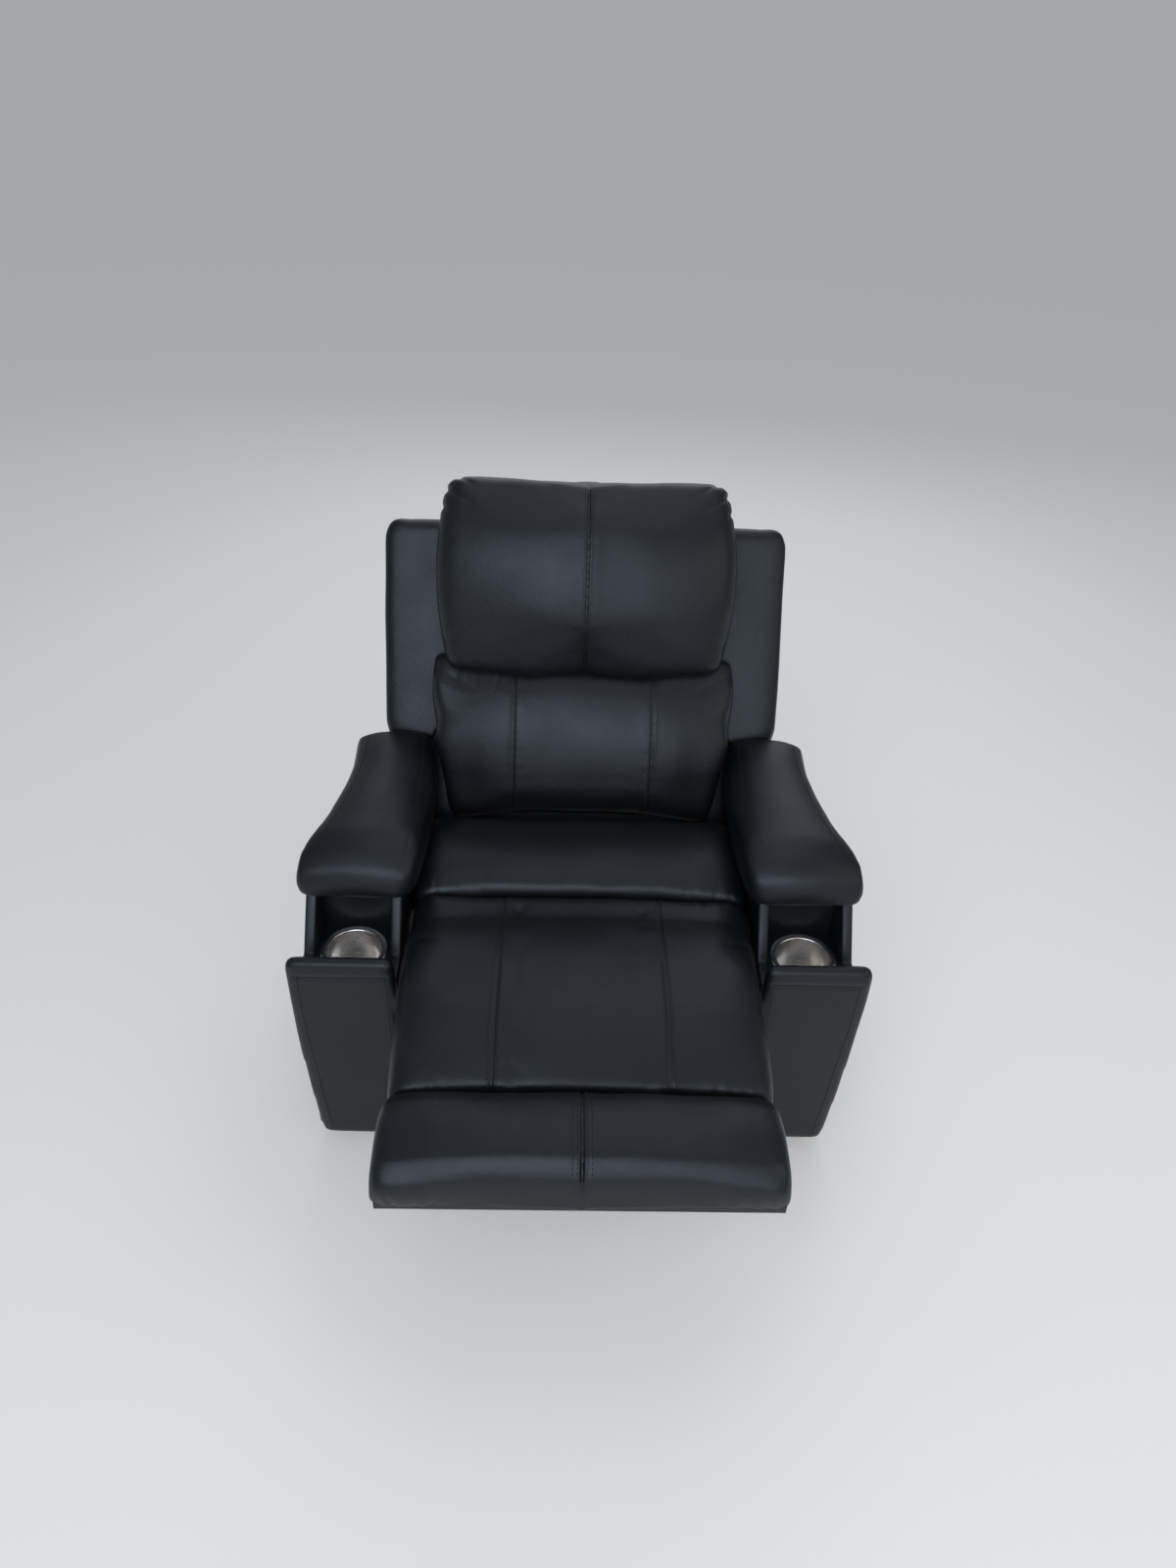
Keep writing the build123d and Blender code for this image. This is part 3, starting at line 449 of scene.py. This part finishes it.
class Cover:
    """A padded cover whose surface is worked on: seams, gathers and soft unevenness."""

    def __init__(self, piece):
        finer = piece.modifiers.new("subdivision", "SUBSURF")
        finer.levels = 1
        finer.render_levels = 1
        bake(piece)
        self.piece = piece
        self.places = points_of(piece.data)
        self.normals = normals_of(piece.data)
        self.push = np.zeros(len(self.places))

    def groove(self, start, end, depth, width, facing, fading=True):
        """Press a line into the side that faces one way, with a soft ridge beside it."""
        facing = np.array(facing)
        start, run = np.array(start), np.array(end) - np.array(start)
        run = run - (run @ facing) * facing
        off = self.places - start
        off = off - np.outer(off @ facing, facing)
        share = np.clip((off @ run) / (run @ run), 0, 1)
        gap = np.linalg.norm(off - share[:, None] * run, axis=1) / width
        press = np.exp(-gap ** 2) - RIDGE_SHARE * np.exp(-(gap - RIDGE_PLACE) ** 2)
        seen = smooth_step(self.normals @ facing, PRESSED_FROM, PRESSED_FULLY)
        self.push -= depth * press * seen * ((1 - share) if fading else 1)

    def seam(self, start, end, facing):
        """Press a sewn seam into the side that faces one way, equally deep all along."""
        self.groove(start, end, SEAM_DEPTH, SEAM_WIDTH, facing, fading=False)

    def gathers(self, start, end, inward, length, count, depth, facing, seed):
        """Row of short folds that run in from an edge, each a little different."""
        draw = np.random.RandomState(seed)
        start, edge = Vector(start), Vector(end) - Vector(start)
        for number in range(count):
            foot = start + edge * ((number + draw.uniform(0.15, 0.85)) / count)
            lean = edge.normalized() * draw.uniform(-0.35, 0.35)
            tip = foot + (Vector(inward) + lean) * length * draw.uniform(0.5, 1.2)
            self.groove(foot, tip, depth * draw.uniform(0.6, 1.2), draw.uniform(4, 8) * MM, facing)

    def uneven(self, size, height):
        """Slow swells over the whole cover, as in hand-laid fibre."""
        self.push += [height * noise.noise(Vector(p) / size) for p in self.places]

    def fill(self, x, width, height):
        """Stuff the valley that runs along the cover at one place across the chair."""
        self.push += height * np.exp(-((self.places[:, 0] - x) / width) ** 2)

    def round_off(self, across, along, share):
        """Draw the corners in, so that the outline in the plane of two directions bulges between them."""
        offs = []
        for direction in (np.array(across), np.array(along)):
            level = self.places @ direction
            offs.append((direction, level - (level.max() + level.min()) / 2))
        for (direction, off), (_, other) in (offs, offs[::-1]):
            drawn = np.sqrt(1 - share * (other / other.max()) ** 2) - 1
            self.places = self.places + np.outer(off * drawn, direction)

    def reach(self, direction, amount, way=None, span=REACH_SPAN):
        """Draw the cover's far end in one direction out to its neighbour, or another way."""
        along = self.places @ np.array(direction)
        share = smooth_step(along, along.max() - span, along.max())
        self.places = self.places + np.outer(share * amount, np.array(way or direction))

    def widen(self, amount):
        """Draw both sides of the cover out."""
        for _, side in SIDES:
            self.reach((side, 0, 0), amount)

    def finish(self):
        """Write the work to the mesh."""
        set_points(self.piece.data, self.places + self.normals * self.push[:, None])
        for face in self.piece.data.polygons:
            face.use_smooth = True


# Sewing


def line_of_rays(start, end, direction):
    """Rays at the stitch pitch along a line, set back from the surface."""
    start, run = Vector(start), Vector(end) - Vector(start)
    count = max(2, round(run.length / STITCH_PITCH))
    back = Vector(direction) * FAR
    return [(start + run * (i / count) - back, Vector(direction)) for i in range(count + 1)]


def sew(name, cover, lines, body):
    """Rows of stitches where each line of rays meets a cover."""
    graph = bpy.context.evaluated_depsgraph_get()
    tree = BVHTree.FromObject(cover, graph)
    shape = bmesh.new()
    for rays in lines:
        hits = [tree.ray_cast(*ray)[:2] for ray in rays]
        hits = [hit for hit in hits if hit[0] is not None]
        for (here, normal), (there, _) in zip(hits, hits[1:]):
            run = there - here
            if run.length > LONGEST_STITCH:
                continue
            along = run.normalized()
            side_way = normal.cross(along).normalized()
            turn = Matrix((along, side_way, along.cross(side_way))).transposed().to_4x4()
            size = Matrix.Diagonal((STITCH_FILL * run.length / 2, THREAD_RADIUS, THREAD_RADIUS, 1))
            place = Matrix.Translation((here + there) / 2 + normal * THREAD_LIFT)
            bmesh.ops.create_icosphere(shape, subdivisions=1, radius=1, matrix=place @ turn @ size)
    stitches = from_bmesh(name, shape, "thread")
    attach(stitches, body)
    return stitches


# Work on each cover

# How far the lumbar cushion's lower sides are let out, and the pillow's middle hangs down
LUMBAR_EASE = 14 * MM
PILLOW_SAG = 24 * MM
PILLOW_HALF_WIDTH = 0.286

# Darts in each upper corner of the pillow: from and to, as on_back takes them, depth and width
PILLOW_DARTS = [
    ((0.282, 0.735, 0.08), (0.205, 0.7, 0.16), 6 * MM, 6 * MM),
    ((0.288, 0.705, 0.08), (0.23, 0.672, 0.15), 5 * MM, 5 * MM),
    ((0.25, 0.752, 0.08), (0.19, 0.725, 0.15), 4 * MM, 5 * MM),
]

# An arm pad's rows of stitches: set in from its edges at the shoulder, and short of both ends
ARM_ROW_INSET = 0.022
ARM_SHOULDER = 0.55
ARM_SKIP_FRONT = 8
ARM_SKIP_REAR = 2

# A front panel's row: inside its edge, under the rolled band, and bent in towards the foot
PANEL_INSET = 0.016
PANEL_BAND = 0.03
PANEL_BEND = 0.72
PANEL_FOOT_IN = 0.019
PANEL_FOOT_UP = 0.02


def rows_up_back(seams, offset, top, bottom, direction):
    """Rays along a row of stitches on each side of every upright seam of the back."""
    places = [x + way * offset for x in seams for way in (-1, 1)]
    return [line_of_rays(on_back(x, top, 0), on_back(x, bottom, 0), direction) for x in places]


def let_out(places):
    """Points of the back's shell, let out sideways between the arms and down behind them."""
    up = up_back(places)
    wide = np.abs(places[:, 0])
    below_notch = 1 - smooth_step(up, NOTCH_UP - NOTCH_FADE_LOW, NOTCH_UP + NOTCH_FADE_HIGH)
    between_arms = smooth_step(wide, STEM_FADE_X, STEM_X) * below_notch
    sideways = np.sign(places[:, 0]) * between_arms * STEM_EASE
    low = 1 - smooth_step(up, NOTCH_UP, NOTCH_UP + DROP_SPAN)
    high = smooth_step(up, WING_TOP_UP - RISE_START, WING_TOP_UP - RISE_END)
    edge = smooth_step(wide, WING_X - WING_EDGE, WING_X)
    wing = smooth_step(wide, STEM_X - WING_ROOT_IN, STEM_X + WING_ROOT_OUT)
    rise = high * edge * WING_CORNER_RISE
    drop = low * (wing * WING_DROP + edge * WING_CORNER_DROP)
    return places + np.outer(sideways, (1, 0, 0)) + np.outer(rise - drop, np.array(BACK_UP))


def work_wing_shell(cover):
    """Plain full wings on both sides of the pillow."""
    cover.places = let_out(cover.places)
    cover.widen(6 * MM)
    cover.reach(BACK_UP, 5 * MM)
    cover.uneven(size=0.13, height=1.4 * MM)
    return []


def work_rear_cover(cover):
    """Plain outer back with two upright seams."""
    cover.places = let_out(cover.places)
    seams = both_sides(REAR_SEAM_X)
    for x in seams:
        cover.groove(on_back(x, 0.66, 0), on_back(x, 0.04, 0), 2.5 * MM, 6 * MM, -BACK_FRONT,
                     fading=False)
    cover.uneven(size=0.13, height=1.2 * MM)
    return rows_up_back(seams, REAR_ROW, 0.65, 0.05, BACK_FRONT)


def work_lumbar_cushion(cover):
    """Three channels, pinched in at the upper corners."""
    cover.reach(BACK_UP, 20 * MM)
    cover.reach(-BACK_UP, 26 * MM)
    across = cover.places[:, 0]
    beside = smooth_step(np.abs(across), 0.2, 0.255)
    low = beside * (1 - smooth_step(up_back(cover.places), 0.26, 0.33))
    cover.places[:, 0] = across + np.sign(across) * low * LUMBAR_EASE
    cover.widen(8 * MM)
    for _, side in SIDES:
        seam_x = side * LUMBAR_SEAM_X
        cover.fill(side * LUMBAR_CHANNEL_X, width=16 * MM, height=4 * MM)
        cover.seam(on_back(seam_x, 0.42, 0), on_back(seam_x, 0.12, 0), BACK_FRONT)
        cover.groove(on_back(side * 0.285, 0.4, 0), on_back(side * 0.2, 0.36, 0), 3.5 * MM, 9 * MM,
                     BACK_FRONT)
        cover.gathers(on_back(side * 0.13, 0.41, 0), on_back(side * 0.27, 0.41, 0), -BACK_UP,
                      length=0.05, count=3, depth=1.4 * MM, facing=BACK_FRONT, seed=21 + side)
    cover.uneven(size=0.11, height=2 * MM)
    return rows_up_back(both_sides(LUMBAR_SEAM_X), TWIN_ROW, 0.41, 0.135, -BACK_FRONT)


def work_head_pillow(cover):
    """Full pillow with a centre seam, and darts at the corners."""
    cover.reach(-BACK_UP, 30 * MM)
    cover.reach(BACK_UP, 16 * MM)
    cover.round_off((1, 0, 0), BACK_UP, 0.1)
    middle = np.clip(1 - (cover.places[:, 0] / PILLOW_HALF_WIDTH) ** 2, 0, 1)
    sag = middle * (1 - smooth_step(up_back(cover.places), 0.4, 0.56))
    cover.places = cover.places - np.outer(sag * PILLOW_SAG, np.array(BACK_UP))
    cover.fill(0, width=18 * MM, height=5 * MM)
    cover.seam(on_back(0, 0.76, 0), on_back(0, 0.41, 0), BACK_FRONT)
    for _, side in SIDES:
        corner = (BACK_FRONT + (BACK_UP + Vector((side, 0, 0))) * 0.6).normalized()
        for (x, *foot), (tip_x, *tip), depth, width in PILLOW_DARTS:
            cover.groove(on_back(side * x, *foot), on_back(side * tip_x, *tip), depth, width, corner)
        cover.groove(on_back(side * 0.285, 0.44, 0), on_back(side * 0.22, 0.475, 0), 3 * MM, 8 * MM,
                     BACK_FRONT)
    cover.uneven(size=0.12, height=2.2 * MM)
    return rows_up_back([0], TWIN_ROW, 0.74, 0.43, -BACK_FRONT)


def work_seat_cushion(cover):
    """Plain crowned seat, gathered at both ends of its front crease."""
    cover.reach(FORWARD, -2 * MM)
    cover.reach(FORWARD, 3 * MM, way=UP, span=0.06)
    cover.widen(9 * MM)
    low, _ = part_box("seat_cushion")
    for _, side in SIDES:
        cover.gathers((side * 0.17, low.y, 0), (side * 0.295, low.y, 0), REARWARD, length=0.04,
                      count=4, depth=1.4 * MM, facing=UP, seed=41 + side)
    cover.uneven(size=0.13, height=2.2 * MM)
    return []


def work_chaise_pad(cover):
    """Three channels from the seat to the leg rest, pleated at the corners."""
    cover.reach(REARWARD, 24 * MM)
    cover.reach(REARWARD, 16 * MM, way=UP)
    cover.reach(FORWARD, 46 * MM, span=0.16)
    cover.reach(FORWARD, 20 * MM, way=DOWN, span=0.14)
    cover.widen(12 * MM)
    front_y, rear_y = cover.places[:, 1].min(), cover.places[:, 1].max()
    for _, side in SIDES:
        seam_x = side * CHAISE_SEAM_X
        cover.fill(side * CHAISE_CHANNEL_X, width=16 * MM, height=4 * MM)
        cover.seam((seam_x, front_y, 0), (seam_x, rear_y, 0), UP)
        cover.gathers((side * 0.18, rear_y, 0), (side * 0.29, rear_y, 0), FORWARD, length=0.04,
                      count=4, depth=1.2 * MM, facing=UP, seed=51 + side)
        cover.gathers((side * 0.2, front_y, 0), (side * 0.292, front_y, 0), REARWARD, length=0.045,
                      count=4, depth=1.6 * MM, facing=UP, seed=54 + side)
        cover.groove((side * 0.295, rear_y - 0.11, 0), (side * 0.24, rear_y - 0.13, 0), 2.5 * MM,
                     7 * MM, UP)
    cover.uneven(size=0.1, height=2.2 * MM)
    rows = [x + offset for x in both_sides(CHAISE_SEAM_X) for offset in (-TWIN_ROW, TWIN_ROW)]
    return [line_of_rays((x, front_y + ROW_END, 0), (x, rear_y - ROW_END, 0), DOWN) for x in rows]


def work_footrest_pad(cover):
    """Leg rest with a centre seam, rolled over in front and gathered at its lower corners."""
    cover.widen(7 * MM)
    cover.reach(REARWARD, -14 * MM)
    cover.reach(FORWARD, 4 * MM)
    cover.reach(FORWARD, 10 * MM, way=DOWN, span=0.035)
    cover.fill(0, width=16 * MM, height=4 * MM)
    low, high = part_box("footrest_pad")
    cover.seam((0, low.y, high.z), (0, high.y, high.z), UP)
    cover.seam((0, low.y, low.z), (0, low.y, high.z), FORWARD)
    for _, side in SIDES:
        cover.gathers((side * 0.2, low.y, low.z), (side * 0.3, low.y, low.z), UP, length=0.04,
                      count=4, depth=1.5 * MM, facing=FORWARD, seed=61 + side)
    cover.uneven(size=0.1, height=1.8 * MM)
    rows = (-2 * TWIN_ROW, -TWIN_ROW, TWIN_ROW, 2 * TWIN_ROW)
    return [line_of_rays((x, low.y + 0.02, 0), (x, high.y - 0.03, 0), DOWN) for x in rows]


def edge_rows(piece, node):
    """Rays down to an arm pad along lines set in from both its side edges."""
    low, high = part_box(node)
    tree = BVHTree.FromObject(piece, bpy.context.evaluated_depsgraph_get())
    shoulder_z = low.z + ARM_SHOULDER * (high.z - low.z)
    middle_x = (low.x + high.x) / 2
    count = round((high.y - low.y) / STITCH_PITCH)
    rows = []
    for way in (-1, 1):
        row = []
        for number in range(ARM_SKIP_FRONT, count - ARM_SKIP_REAR):
            y = low.y + number * STITCH_PITCH
            start = Vector((middle_x + way * FAR, y, shoulder_z))
            edge = tree.ray_cast(start, Vector((-way, 0, 0)))[0]
            if edge is not None:
                row.append((Vector((edge.x - way * ARM_ROW_INSET, y, FAR)), DOWN))
        rows.append(row)
    return rows


def work_arm_pad(cover, node, side):
    """Arm pad that curls over in front, with a sewn edge along both sides."""
    cover.reach((side, 0, 0), 8 * MM)
    cover.reach(FORWARD, 6 * MM)
    cover.uneven(size=0.12, height=1.6 * MM)
    return edge_rows(cover.piece, node)


def work_front_panel(cover, node, side):
    """Front panel with a rolled top and a sewn edge."""
    cover.reach((side, 0, 0), 6 * MM)
    cover.reach(UP, 3 * MM)
    cover.uneven(size=0.12, height=1.2 * MM)
    low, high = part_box(node)
    inner, outer = sorted((low.x, high.x), key=abs)
    inner_x = inner + side * PANEL_INSET
    outer_x = outer - side * PANEL_INSET
    foot_x = outer_x - side * PANEL_FOOT_IN
    band_z = high.z - PANEL_BAND
    bend_z = low.z + PANEL_BEND * (high.z - low.z)
    foot_z = low.z + PANEL_FOOT_UP
    cover.groove((inner_x, low.y, band_z), (outer_x, low.y, band_z), 1.5 * MM, 5 * MM, FORWARD,
                 fading=False)
    corners = [(inner_x, 0, foot_z), (inner_x, 0, band_z), (outer_x, 0, band_z),
               (outer_x, 0, bend_z), (foot_x, 0, foot_z)]
    return [line_of_rays(start, end, REARWARD) for start, end in zip(corners, corners[1:])]


def work_on(pad, cover):
    """Do the work that belongs to one cover, and return its lines of sewing."""
    for side_name, side in SIDES:
        if pad.node == "arm_pad_" + side_name:
            return work_arm_pad(cover, pad.node, side)
        if pad.node == "front_panel_" + side_name:
            return work_front_panel(cover, pad.node, side)
    works = {"wing_shell": work_wing_shell, "rear_cover": work_rear_cover,
             "lumbar_cushion": work_lumbar_cushion, "head_pillow": work_head_pillow,
             "seat_cushion": work_seat_cushion, "chaise_pad": work_chaise_pad,
             "footrest_pad": work_footrest_pad}
    return works[pad.node](cover)


def upholster():
    """Make every padded cover with its sewing, and set it on its body."""
    started = [(pad, start_pad(pad)) for pad in PADS]
    blow_up([start for start in started if start[0].cap])
    for pad, (piece, _, _) in started:
        cover = Cover(piece)
        lines = work_on(pad, cover)
        cover.finish()
        soft = [piece]
        if lines:
            soft.append(sew(pad.node + "_stitches", piece, lines, pad.body))
        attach(piece, pad.body)
        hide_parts(pad.node)
        if pad.node == "chaise_pad":
            for made in soft:
                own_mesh(made)


# Walls and boards of the frame, wrapped in leather or cloth where they would show

WALL_ROUND = 4.5 * MM
WALL_ROUND_STEPS = 3
SHORT_EDGE = 15 * MM
FLAT_ANGLE = math.radians(1)
CORNER_ANGLE = math.radians(30)
SHARP_ANGLE = math.radians(40)
WRAPPED_BOARDS = [("back_board", "back", "leather"), ("front_rail", "base", "black_cloth"),
                  ("arm_top_boards", "base", "leather"), ("arm_base_boards", "base", "black_cloth")]


def wrap_arm_walls():
    """Leather-wrapped copies of the arm walls with rounded edges."""
    for wall in ("arm_outer_wall", "arm_inner_wall"):
        for side_name, _ in SIDES:
            node = f"{wall}_{side_name}"
            shape = merged_copy(node)
            bmesh.ops.dissolve_limit(shape, angle_limit=FLAT_ANGLE, verts=shape.verts,
                                     edges=shape.edges)
            corners = [edge for edge in shape.edges if edge.calc_length() > SHORT_EDGE
                       and len(edge.link_faces) == 2 and edge.calc_face_angle() > CORNER_ANGLE]
            bmesh.ops.bevel(shape, geom=corners, offset=WALL_ROUND, segments=WALL_ROUND_STEPS,
                            profile=0.5, affect="EDGES", material=-1, clamp_overlap=True)
            piece = from_bmesh(node + "_wrap", shape, "leather")
            piece.data.set_sharp_from_angle(angle=SHARP_ANGLE)
            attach(piece, "base")
            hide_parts(node)


def wrap_boards():
    """Covering drawn over the boards whose bare edges would show."""
    for node, body, finish in WRAPPED_BOARDS:
        piece = from_bmesh(node + "_wrap", merged_copy(node), finish, smooth=False)
        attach(piece, body)
        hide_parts(node)


# Cup holders

CUP_BORE = 47.5 * MM
CUP_FLOOR = 1.2 * MM
CUP_WALL = 1.0 * MM
CUP_CORNER = 7 * MM
CUP_LIP = 3 * MM
CUP_RIM = 2 * MM
CUP_RIM_ROUND = 0.8 * MM
CUP_STEPS = 72


def press_cups():
    """Drawn steel cups with a rounded bottom corner and a rolled lip."""
    for side_name, _ in SIDES:
        node = "cup_holder_" + side_name
        low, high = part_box(node)
        centre = (low + high) / 2
        lip_radius = (high.x - low.x) / 2
        floor_z = low.z + CUP_FLOOR
        corner = [(CUP_BORE - CUP_CORNER * (1 - math.sin(a)), floor_z + CUP_CORNER * (1 - math.cos(a)))
                  for a in np.radians((0, 22.5, 45, 67.5, 90))]
        roll = [(CUP_BORE + CUP_LIP * (1 - math.cos(a)), high.z - CUP_LIP * (1 - math.sin(a)))
                for a in np.radians((0, 30, 60, 90))]
        rim = [(lip_radius - CUP_RIM, high.z), (lip_radius, high.z - CUP_RIM_ROUND),
               (lip_radius, high.z - CUP_RIM)]
        outline = [(0, floor_z)] + corner + roll + rim
        shape = bmesh.new()
        points = [shape.verts.new((centre.x + r, centre.y, z)) for r, z in outline]
        edges = [shape.edges.new(pair) for pair in zip(points, points[1:])]
        bmesh.ops.spin(shape, geom=points + edges, cent=(centre.x, centre.y, 0), axis=UP,
                       angle=math.tau, steps=CUP_STEPS, use_merge=True)
        bmesh.ops.remove_doubles(shape, verts=shape.verts, dist=WELD)
        bmesh.ops.recalc_face_normals(shape, faces=shape.faces)
        piece = from_bmesh(node + "_pressing", shape, "stainless")
        wall = piece.modifiers.new("wall", "SOLIDIFY")
        wall.thickness = CUP_WALL
        wall.offset = -1
        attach(piece, "base")
        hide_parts(node)


# Welt sewn round the back, between the padded front and the outer back

WELT_RADIUS = 4 * MM
WELT_FRONT = -0.0405


def sew_welt():
    """Leather piping round the back's edge, along the outline of its outer cover."""
    shape = merged_copy("rear_cover")
    bmesh.ops.bisect_plane(shape, geom=shape.verts[:] + shape.edges[:] + shape.faces[:],
                           plane_co=on_back(0, 0, WELT_FRONT), plane_no=BACK_FRONT,
                           clear_inner=True, clear_outer=True)
    corner = next(iter(shape.verts))
    ring = [corner]
    edge = corner.link_edges[0]
    while edge.other_vert(ring[-1]) is not corner:
        ring.append(edge.other_vert(ring[-1]))
        edge = next(e for e in ring[-1].link_edges if e is not edge)
    curve = bpy.data.curves.new("back_welt_line", "CURVE")
    curve.dimensions = "3D"
    curve.bevel_depth = WELT_RADIUS
    curve.bevel_resolution = 3
    spline = curve.splines.new("POLY")
    spline.points.add(len(ring) - 1)
    places = let_out(np.array([vert.co for vert in ring]))
    for point, place in zip(spline.points, places):
        point.co = (*place, 1)
    spline.use_cyclic_u = True
    shape.free()
    line = bpy.data.objects.new("back_welt_line", curve)
    piece = new_piece("back_welt", bpy.data.meshes.new_from_object(line), "leather")
    bpy.data.objects.remove(line)
    for face in piece.data.polygons:
        face.use_smooth = True
    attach(piece, "back")


# Camera, floor and light

FLOOR_HALF = 40
FLOOR_LIFT = 0.2
WORLD_GLOW = 0.32


def set_camera():
    """Camera at the photograph's place, with its turn and focal length."""
    forward = Vector((math.sin(CAMERA_YAW) * math.cos(CAMERA_PITCH),
                      math.cos(CAMERA_YAW) * math.cos(CAMERA_PITCH), -math.sin(CAMERA_PITCH)))
    right = Vector((math.cos(CAMERA_YAW), -math.sin(CAMERA_YAW), 0))
    down = forward.cross(right)
    rolled_right = right * math.cos(CAMERA_ROLL) + down * math.sin(CAMERA_ROLL)
    rolled_down = down * math.cos(CAMERA_ROLL) - right * math.sin(CAMERA_ROLL)
    camera = bpy.data.objects.new("camera", bpy.data.cameras.new("camera"))
    camera.data.sensor_width = SENSOR_MM
    camera.data.lens = FOCAL_PIXELS / FRAME_HEIGHT * SENSOR_MM
    turn = Matrix((rolled_right, -rolled_down, -forward)).transposed().to_4x4()
    camera.matrix_world = Matrix.Translation(CAMERA_PLACE) @ turn
    bpy.context.scene.collection.objects.link(camera)
    bpy.context.scene.camera = camera


def set_floor():
    """Plain pale floor, lifted a little where it is seen, so that it stays pale far off."""
    shape = bmesh.new()
    bmesh.ops.create_grid(shape, x_segments=1, y_segments=1, size=FLOOR_HALF)
    material, tree, _ = start_material("pale_floor")
    path = add_node(tree, "LightPath").outputs
    seen = add_node(tree, "Math", {0: path["Is Camera Ray"], 1: path["Is Glossy Ray"]},
                    operation="MAXIMUM")
    lift = add_node(tree, "Math", {0: seen.outputs[0], 1: FLOOR_LIFT}, operation="MULTIPLY")
    end_material(tree, {"Base Color": linear("#dcdbd8"), "Roughness": 0.7,
                        "Emission Color": linear("#f4f4f2"), "Emission Strength": lift.outputs[0]})
    MATERIALS["floor"] = material
    from_bmesh("floor", shape, "floor")


def add_lamp(name, place, aim, size, watts, colour):
    """Soft square lamp that points at a place."""
    lamp = bpy.data.objects.new(name, bpy.data.lights.new(name, "AREA"))
    lamp.data.size = size
    lamp.data.energy = watts
    lamp.data.color = linear(colour)[:3]
    lamp.location = place
    lamp.rotation_mode = "QUATERNION"
    lamp.rotation_quaternion = (Vector(aim) - Vector(place)).to_track_quat("-Z", "Y")
    bpy.context.scene.collection.objects.link(lamp)


def set_light():
    """Soft studio light: two cool lamps in front, a fill, lamps above and behind, and a pale world."""
    add_lamp("key", (-0.9, -3.0, 2.9), aim=(0, 0, 0.5), size=2.6, watts=58, colour="#eef3ff")
    add_lamp("front", (0.5, -3.9, 1.9), aim=(0, 0, 0.6), size=2.6, watts=44, colour="#f0f4ff")
    add_lamp("fill", (2.3, -1.4, 2.2), aim=(0, 0, 0.5), size=2.4, watts=16, colour="#fff6ec")
    add_lamp("above", (0.2, 0.2, 3.4), aim=(0, 0, 0.5), size=2.2, watts=12, colour="#f2f5ff")
    add_lamp("behind", (0.3, 2.6, 2.5), aim=(0, 0, 0.6), size=3.0, watts=26, colour="#f2f5ff")
    world = bpy.data.worlds.new("studio")
    bpy.context.scene.world = world
    world.use_nodes = True
    tree = world.node_tree
    tree.nodes.clear()
    glow = add_node(tree, "Background", {"Color": linear("#e6ebf4"), "Strength": WORLD_GLOW})
    wall = add_node(tree, "Background", {"Color": linear("#a4a5a7"), "Strength": 1})
    seen = add_node(tree, "LightPath").outputs["Is Camera Ray"]
    both = add_node(tree, "MixShader", {0: seen, 1: glow.outputs[0], 2: wall.outputs[0]})
    add_node(tree, "OutputWorld", {"Surface": both.outputs[0]})


dress_frame()
upholster()
wrap_arm_walls()
wrap_boards()
press_cups()
sew_welt()
set_camera()
set_floor()
set_light()
bpy.context.scene.view_settings.view_transform = "Standard"
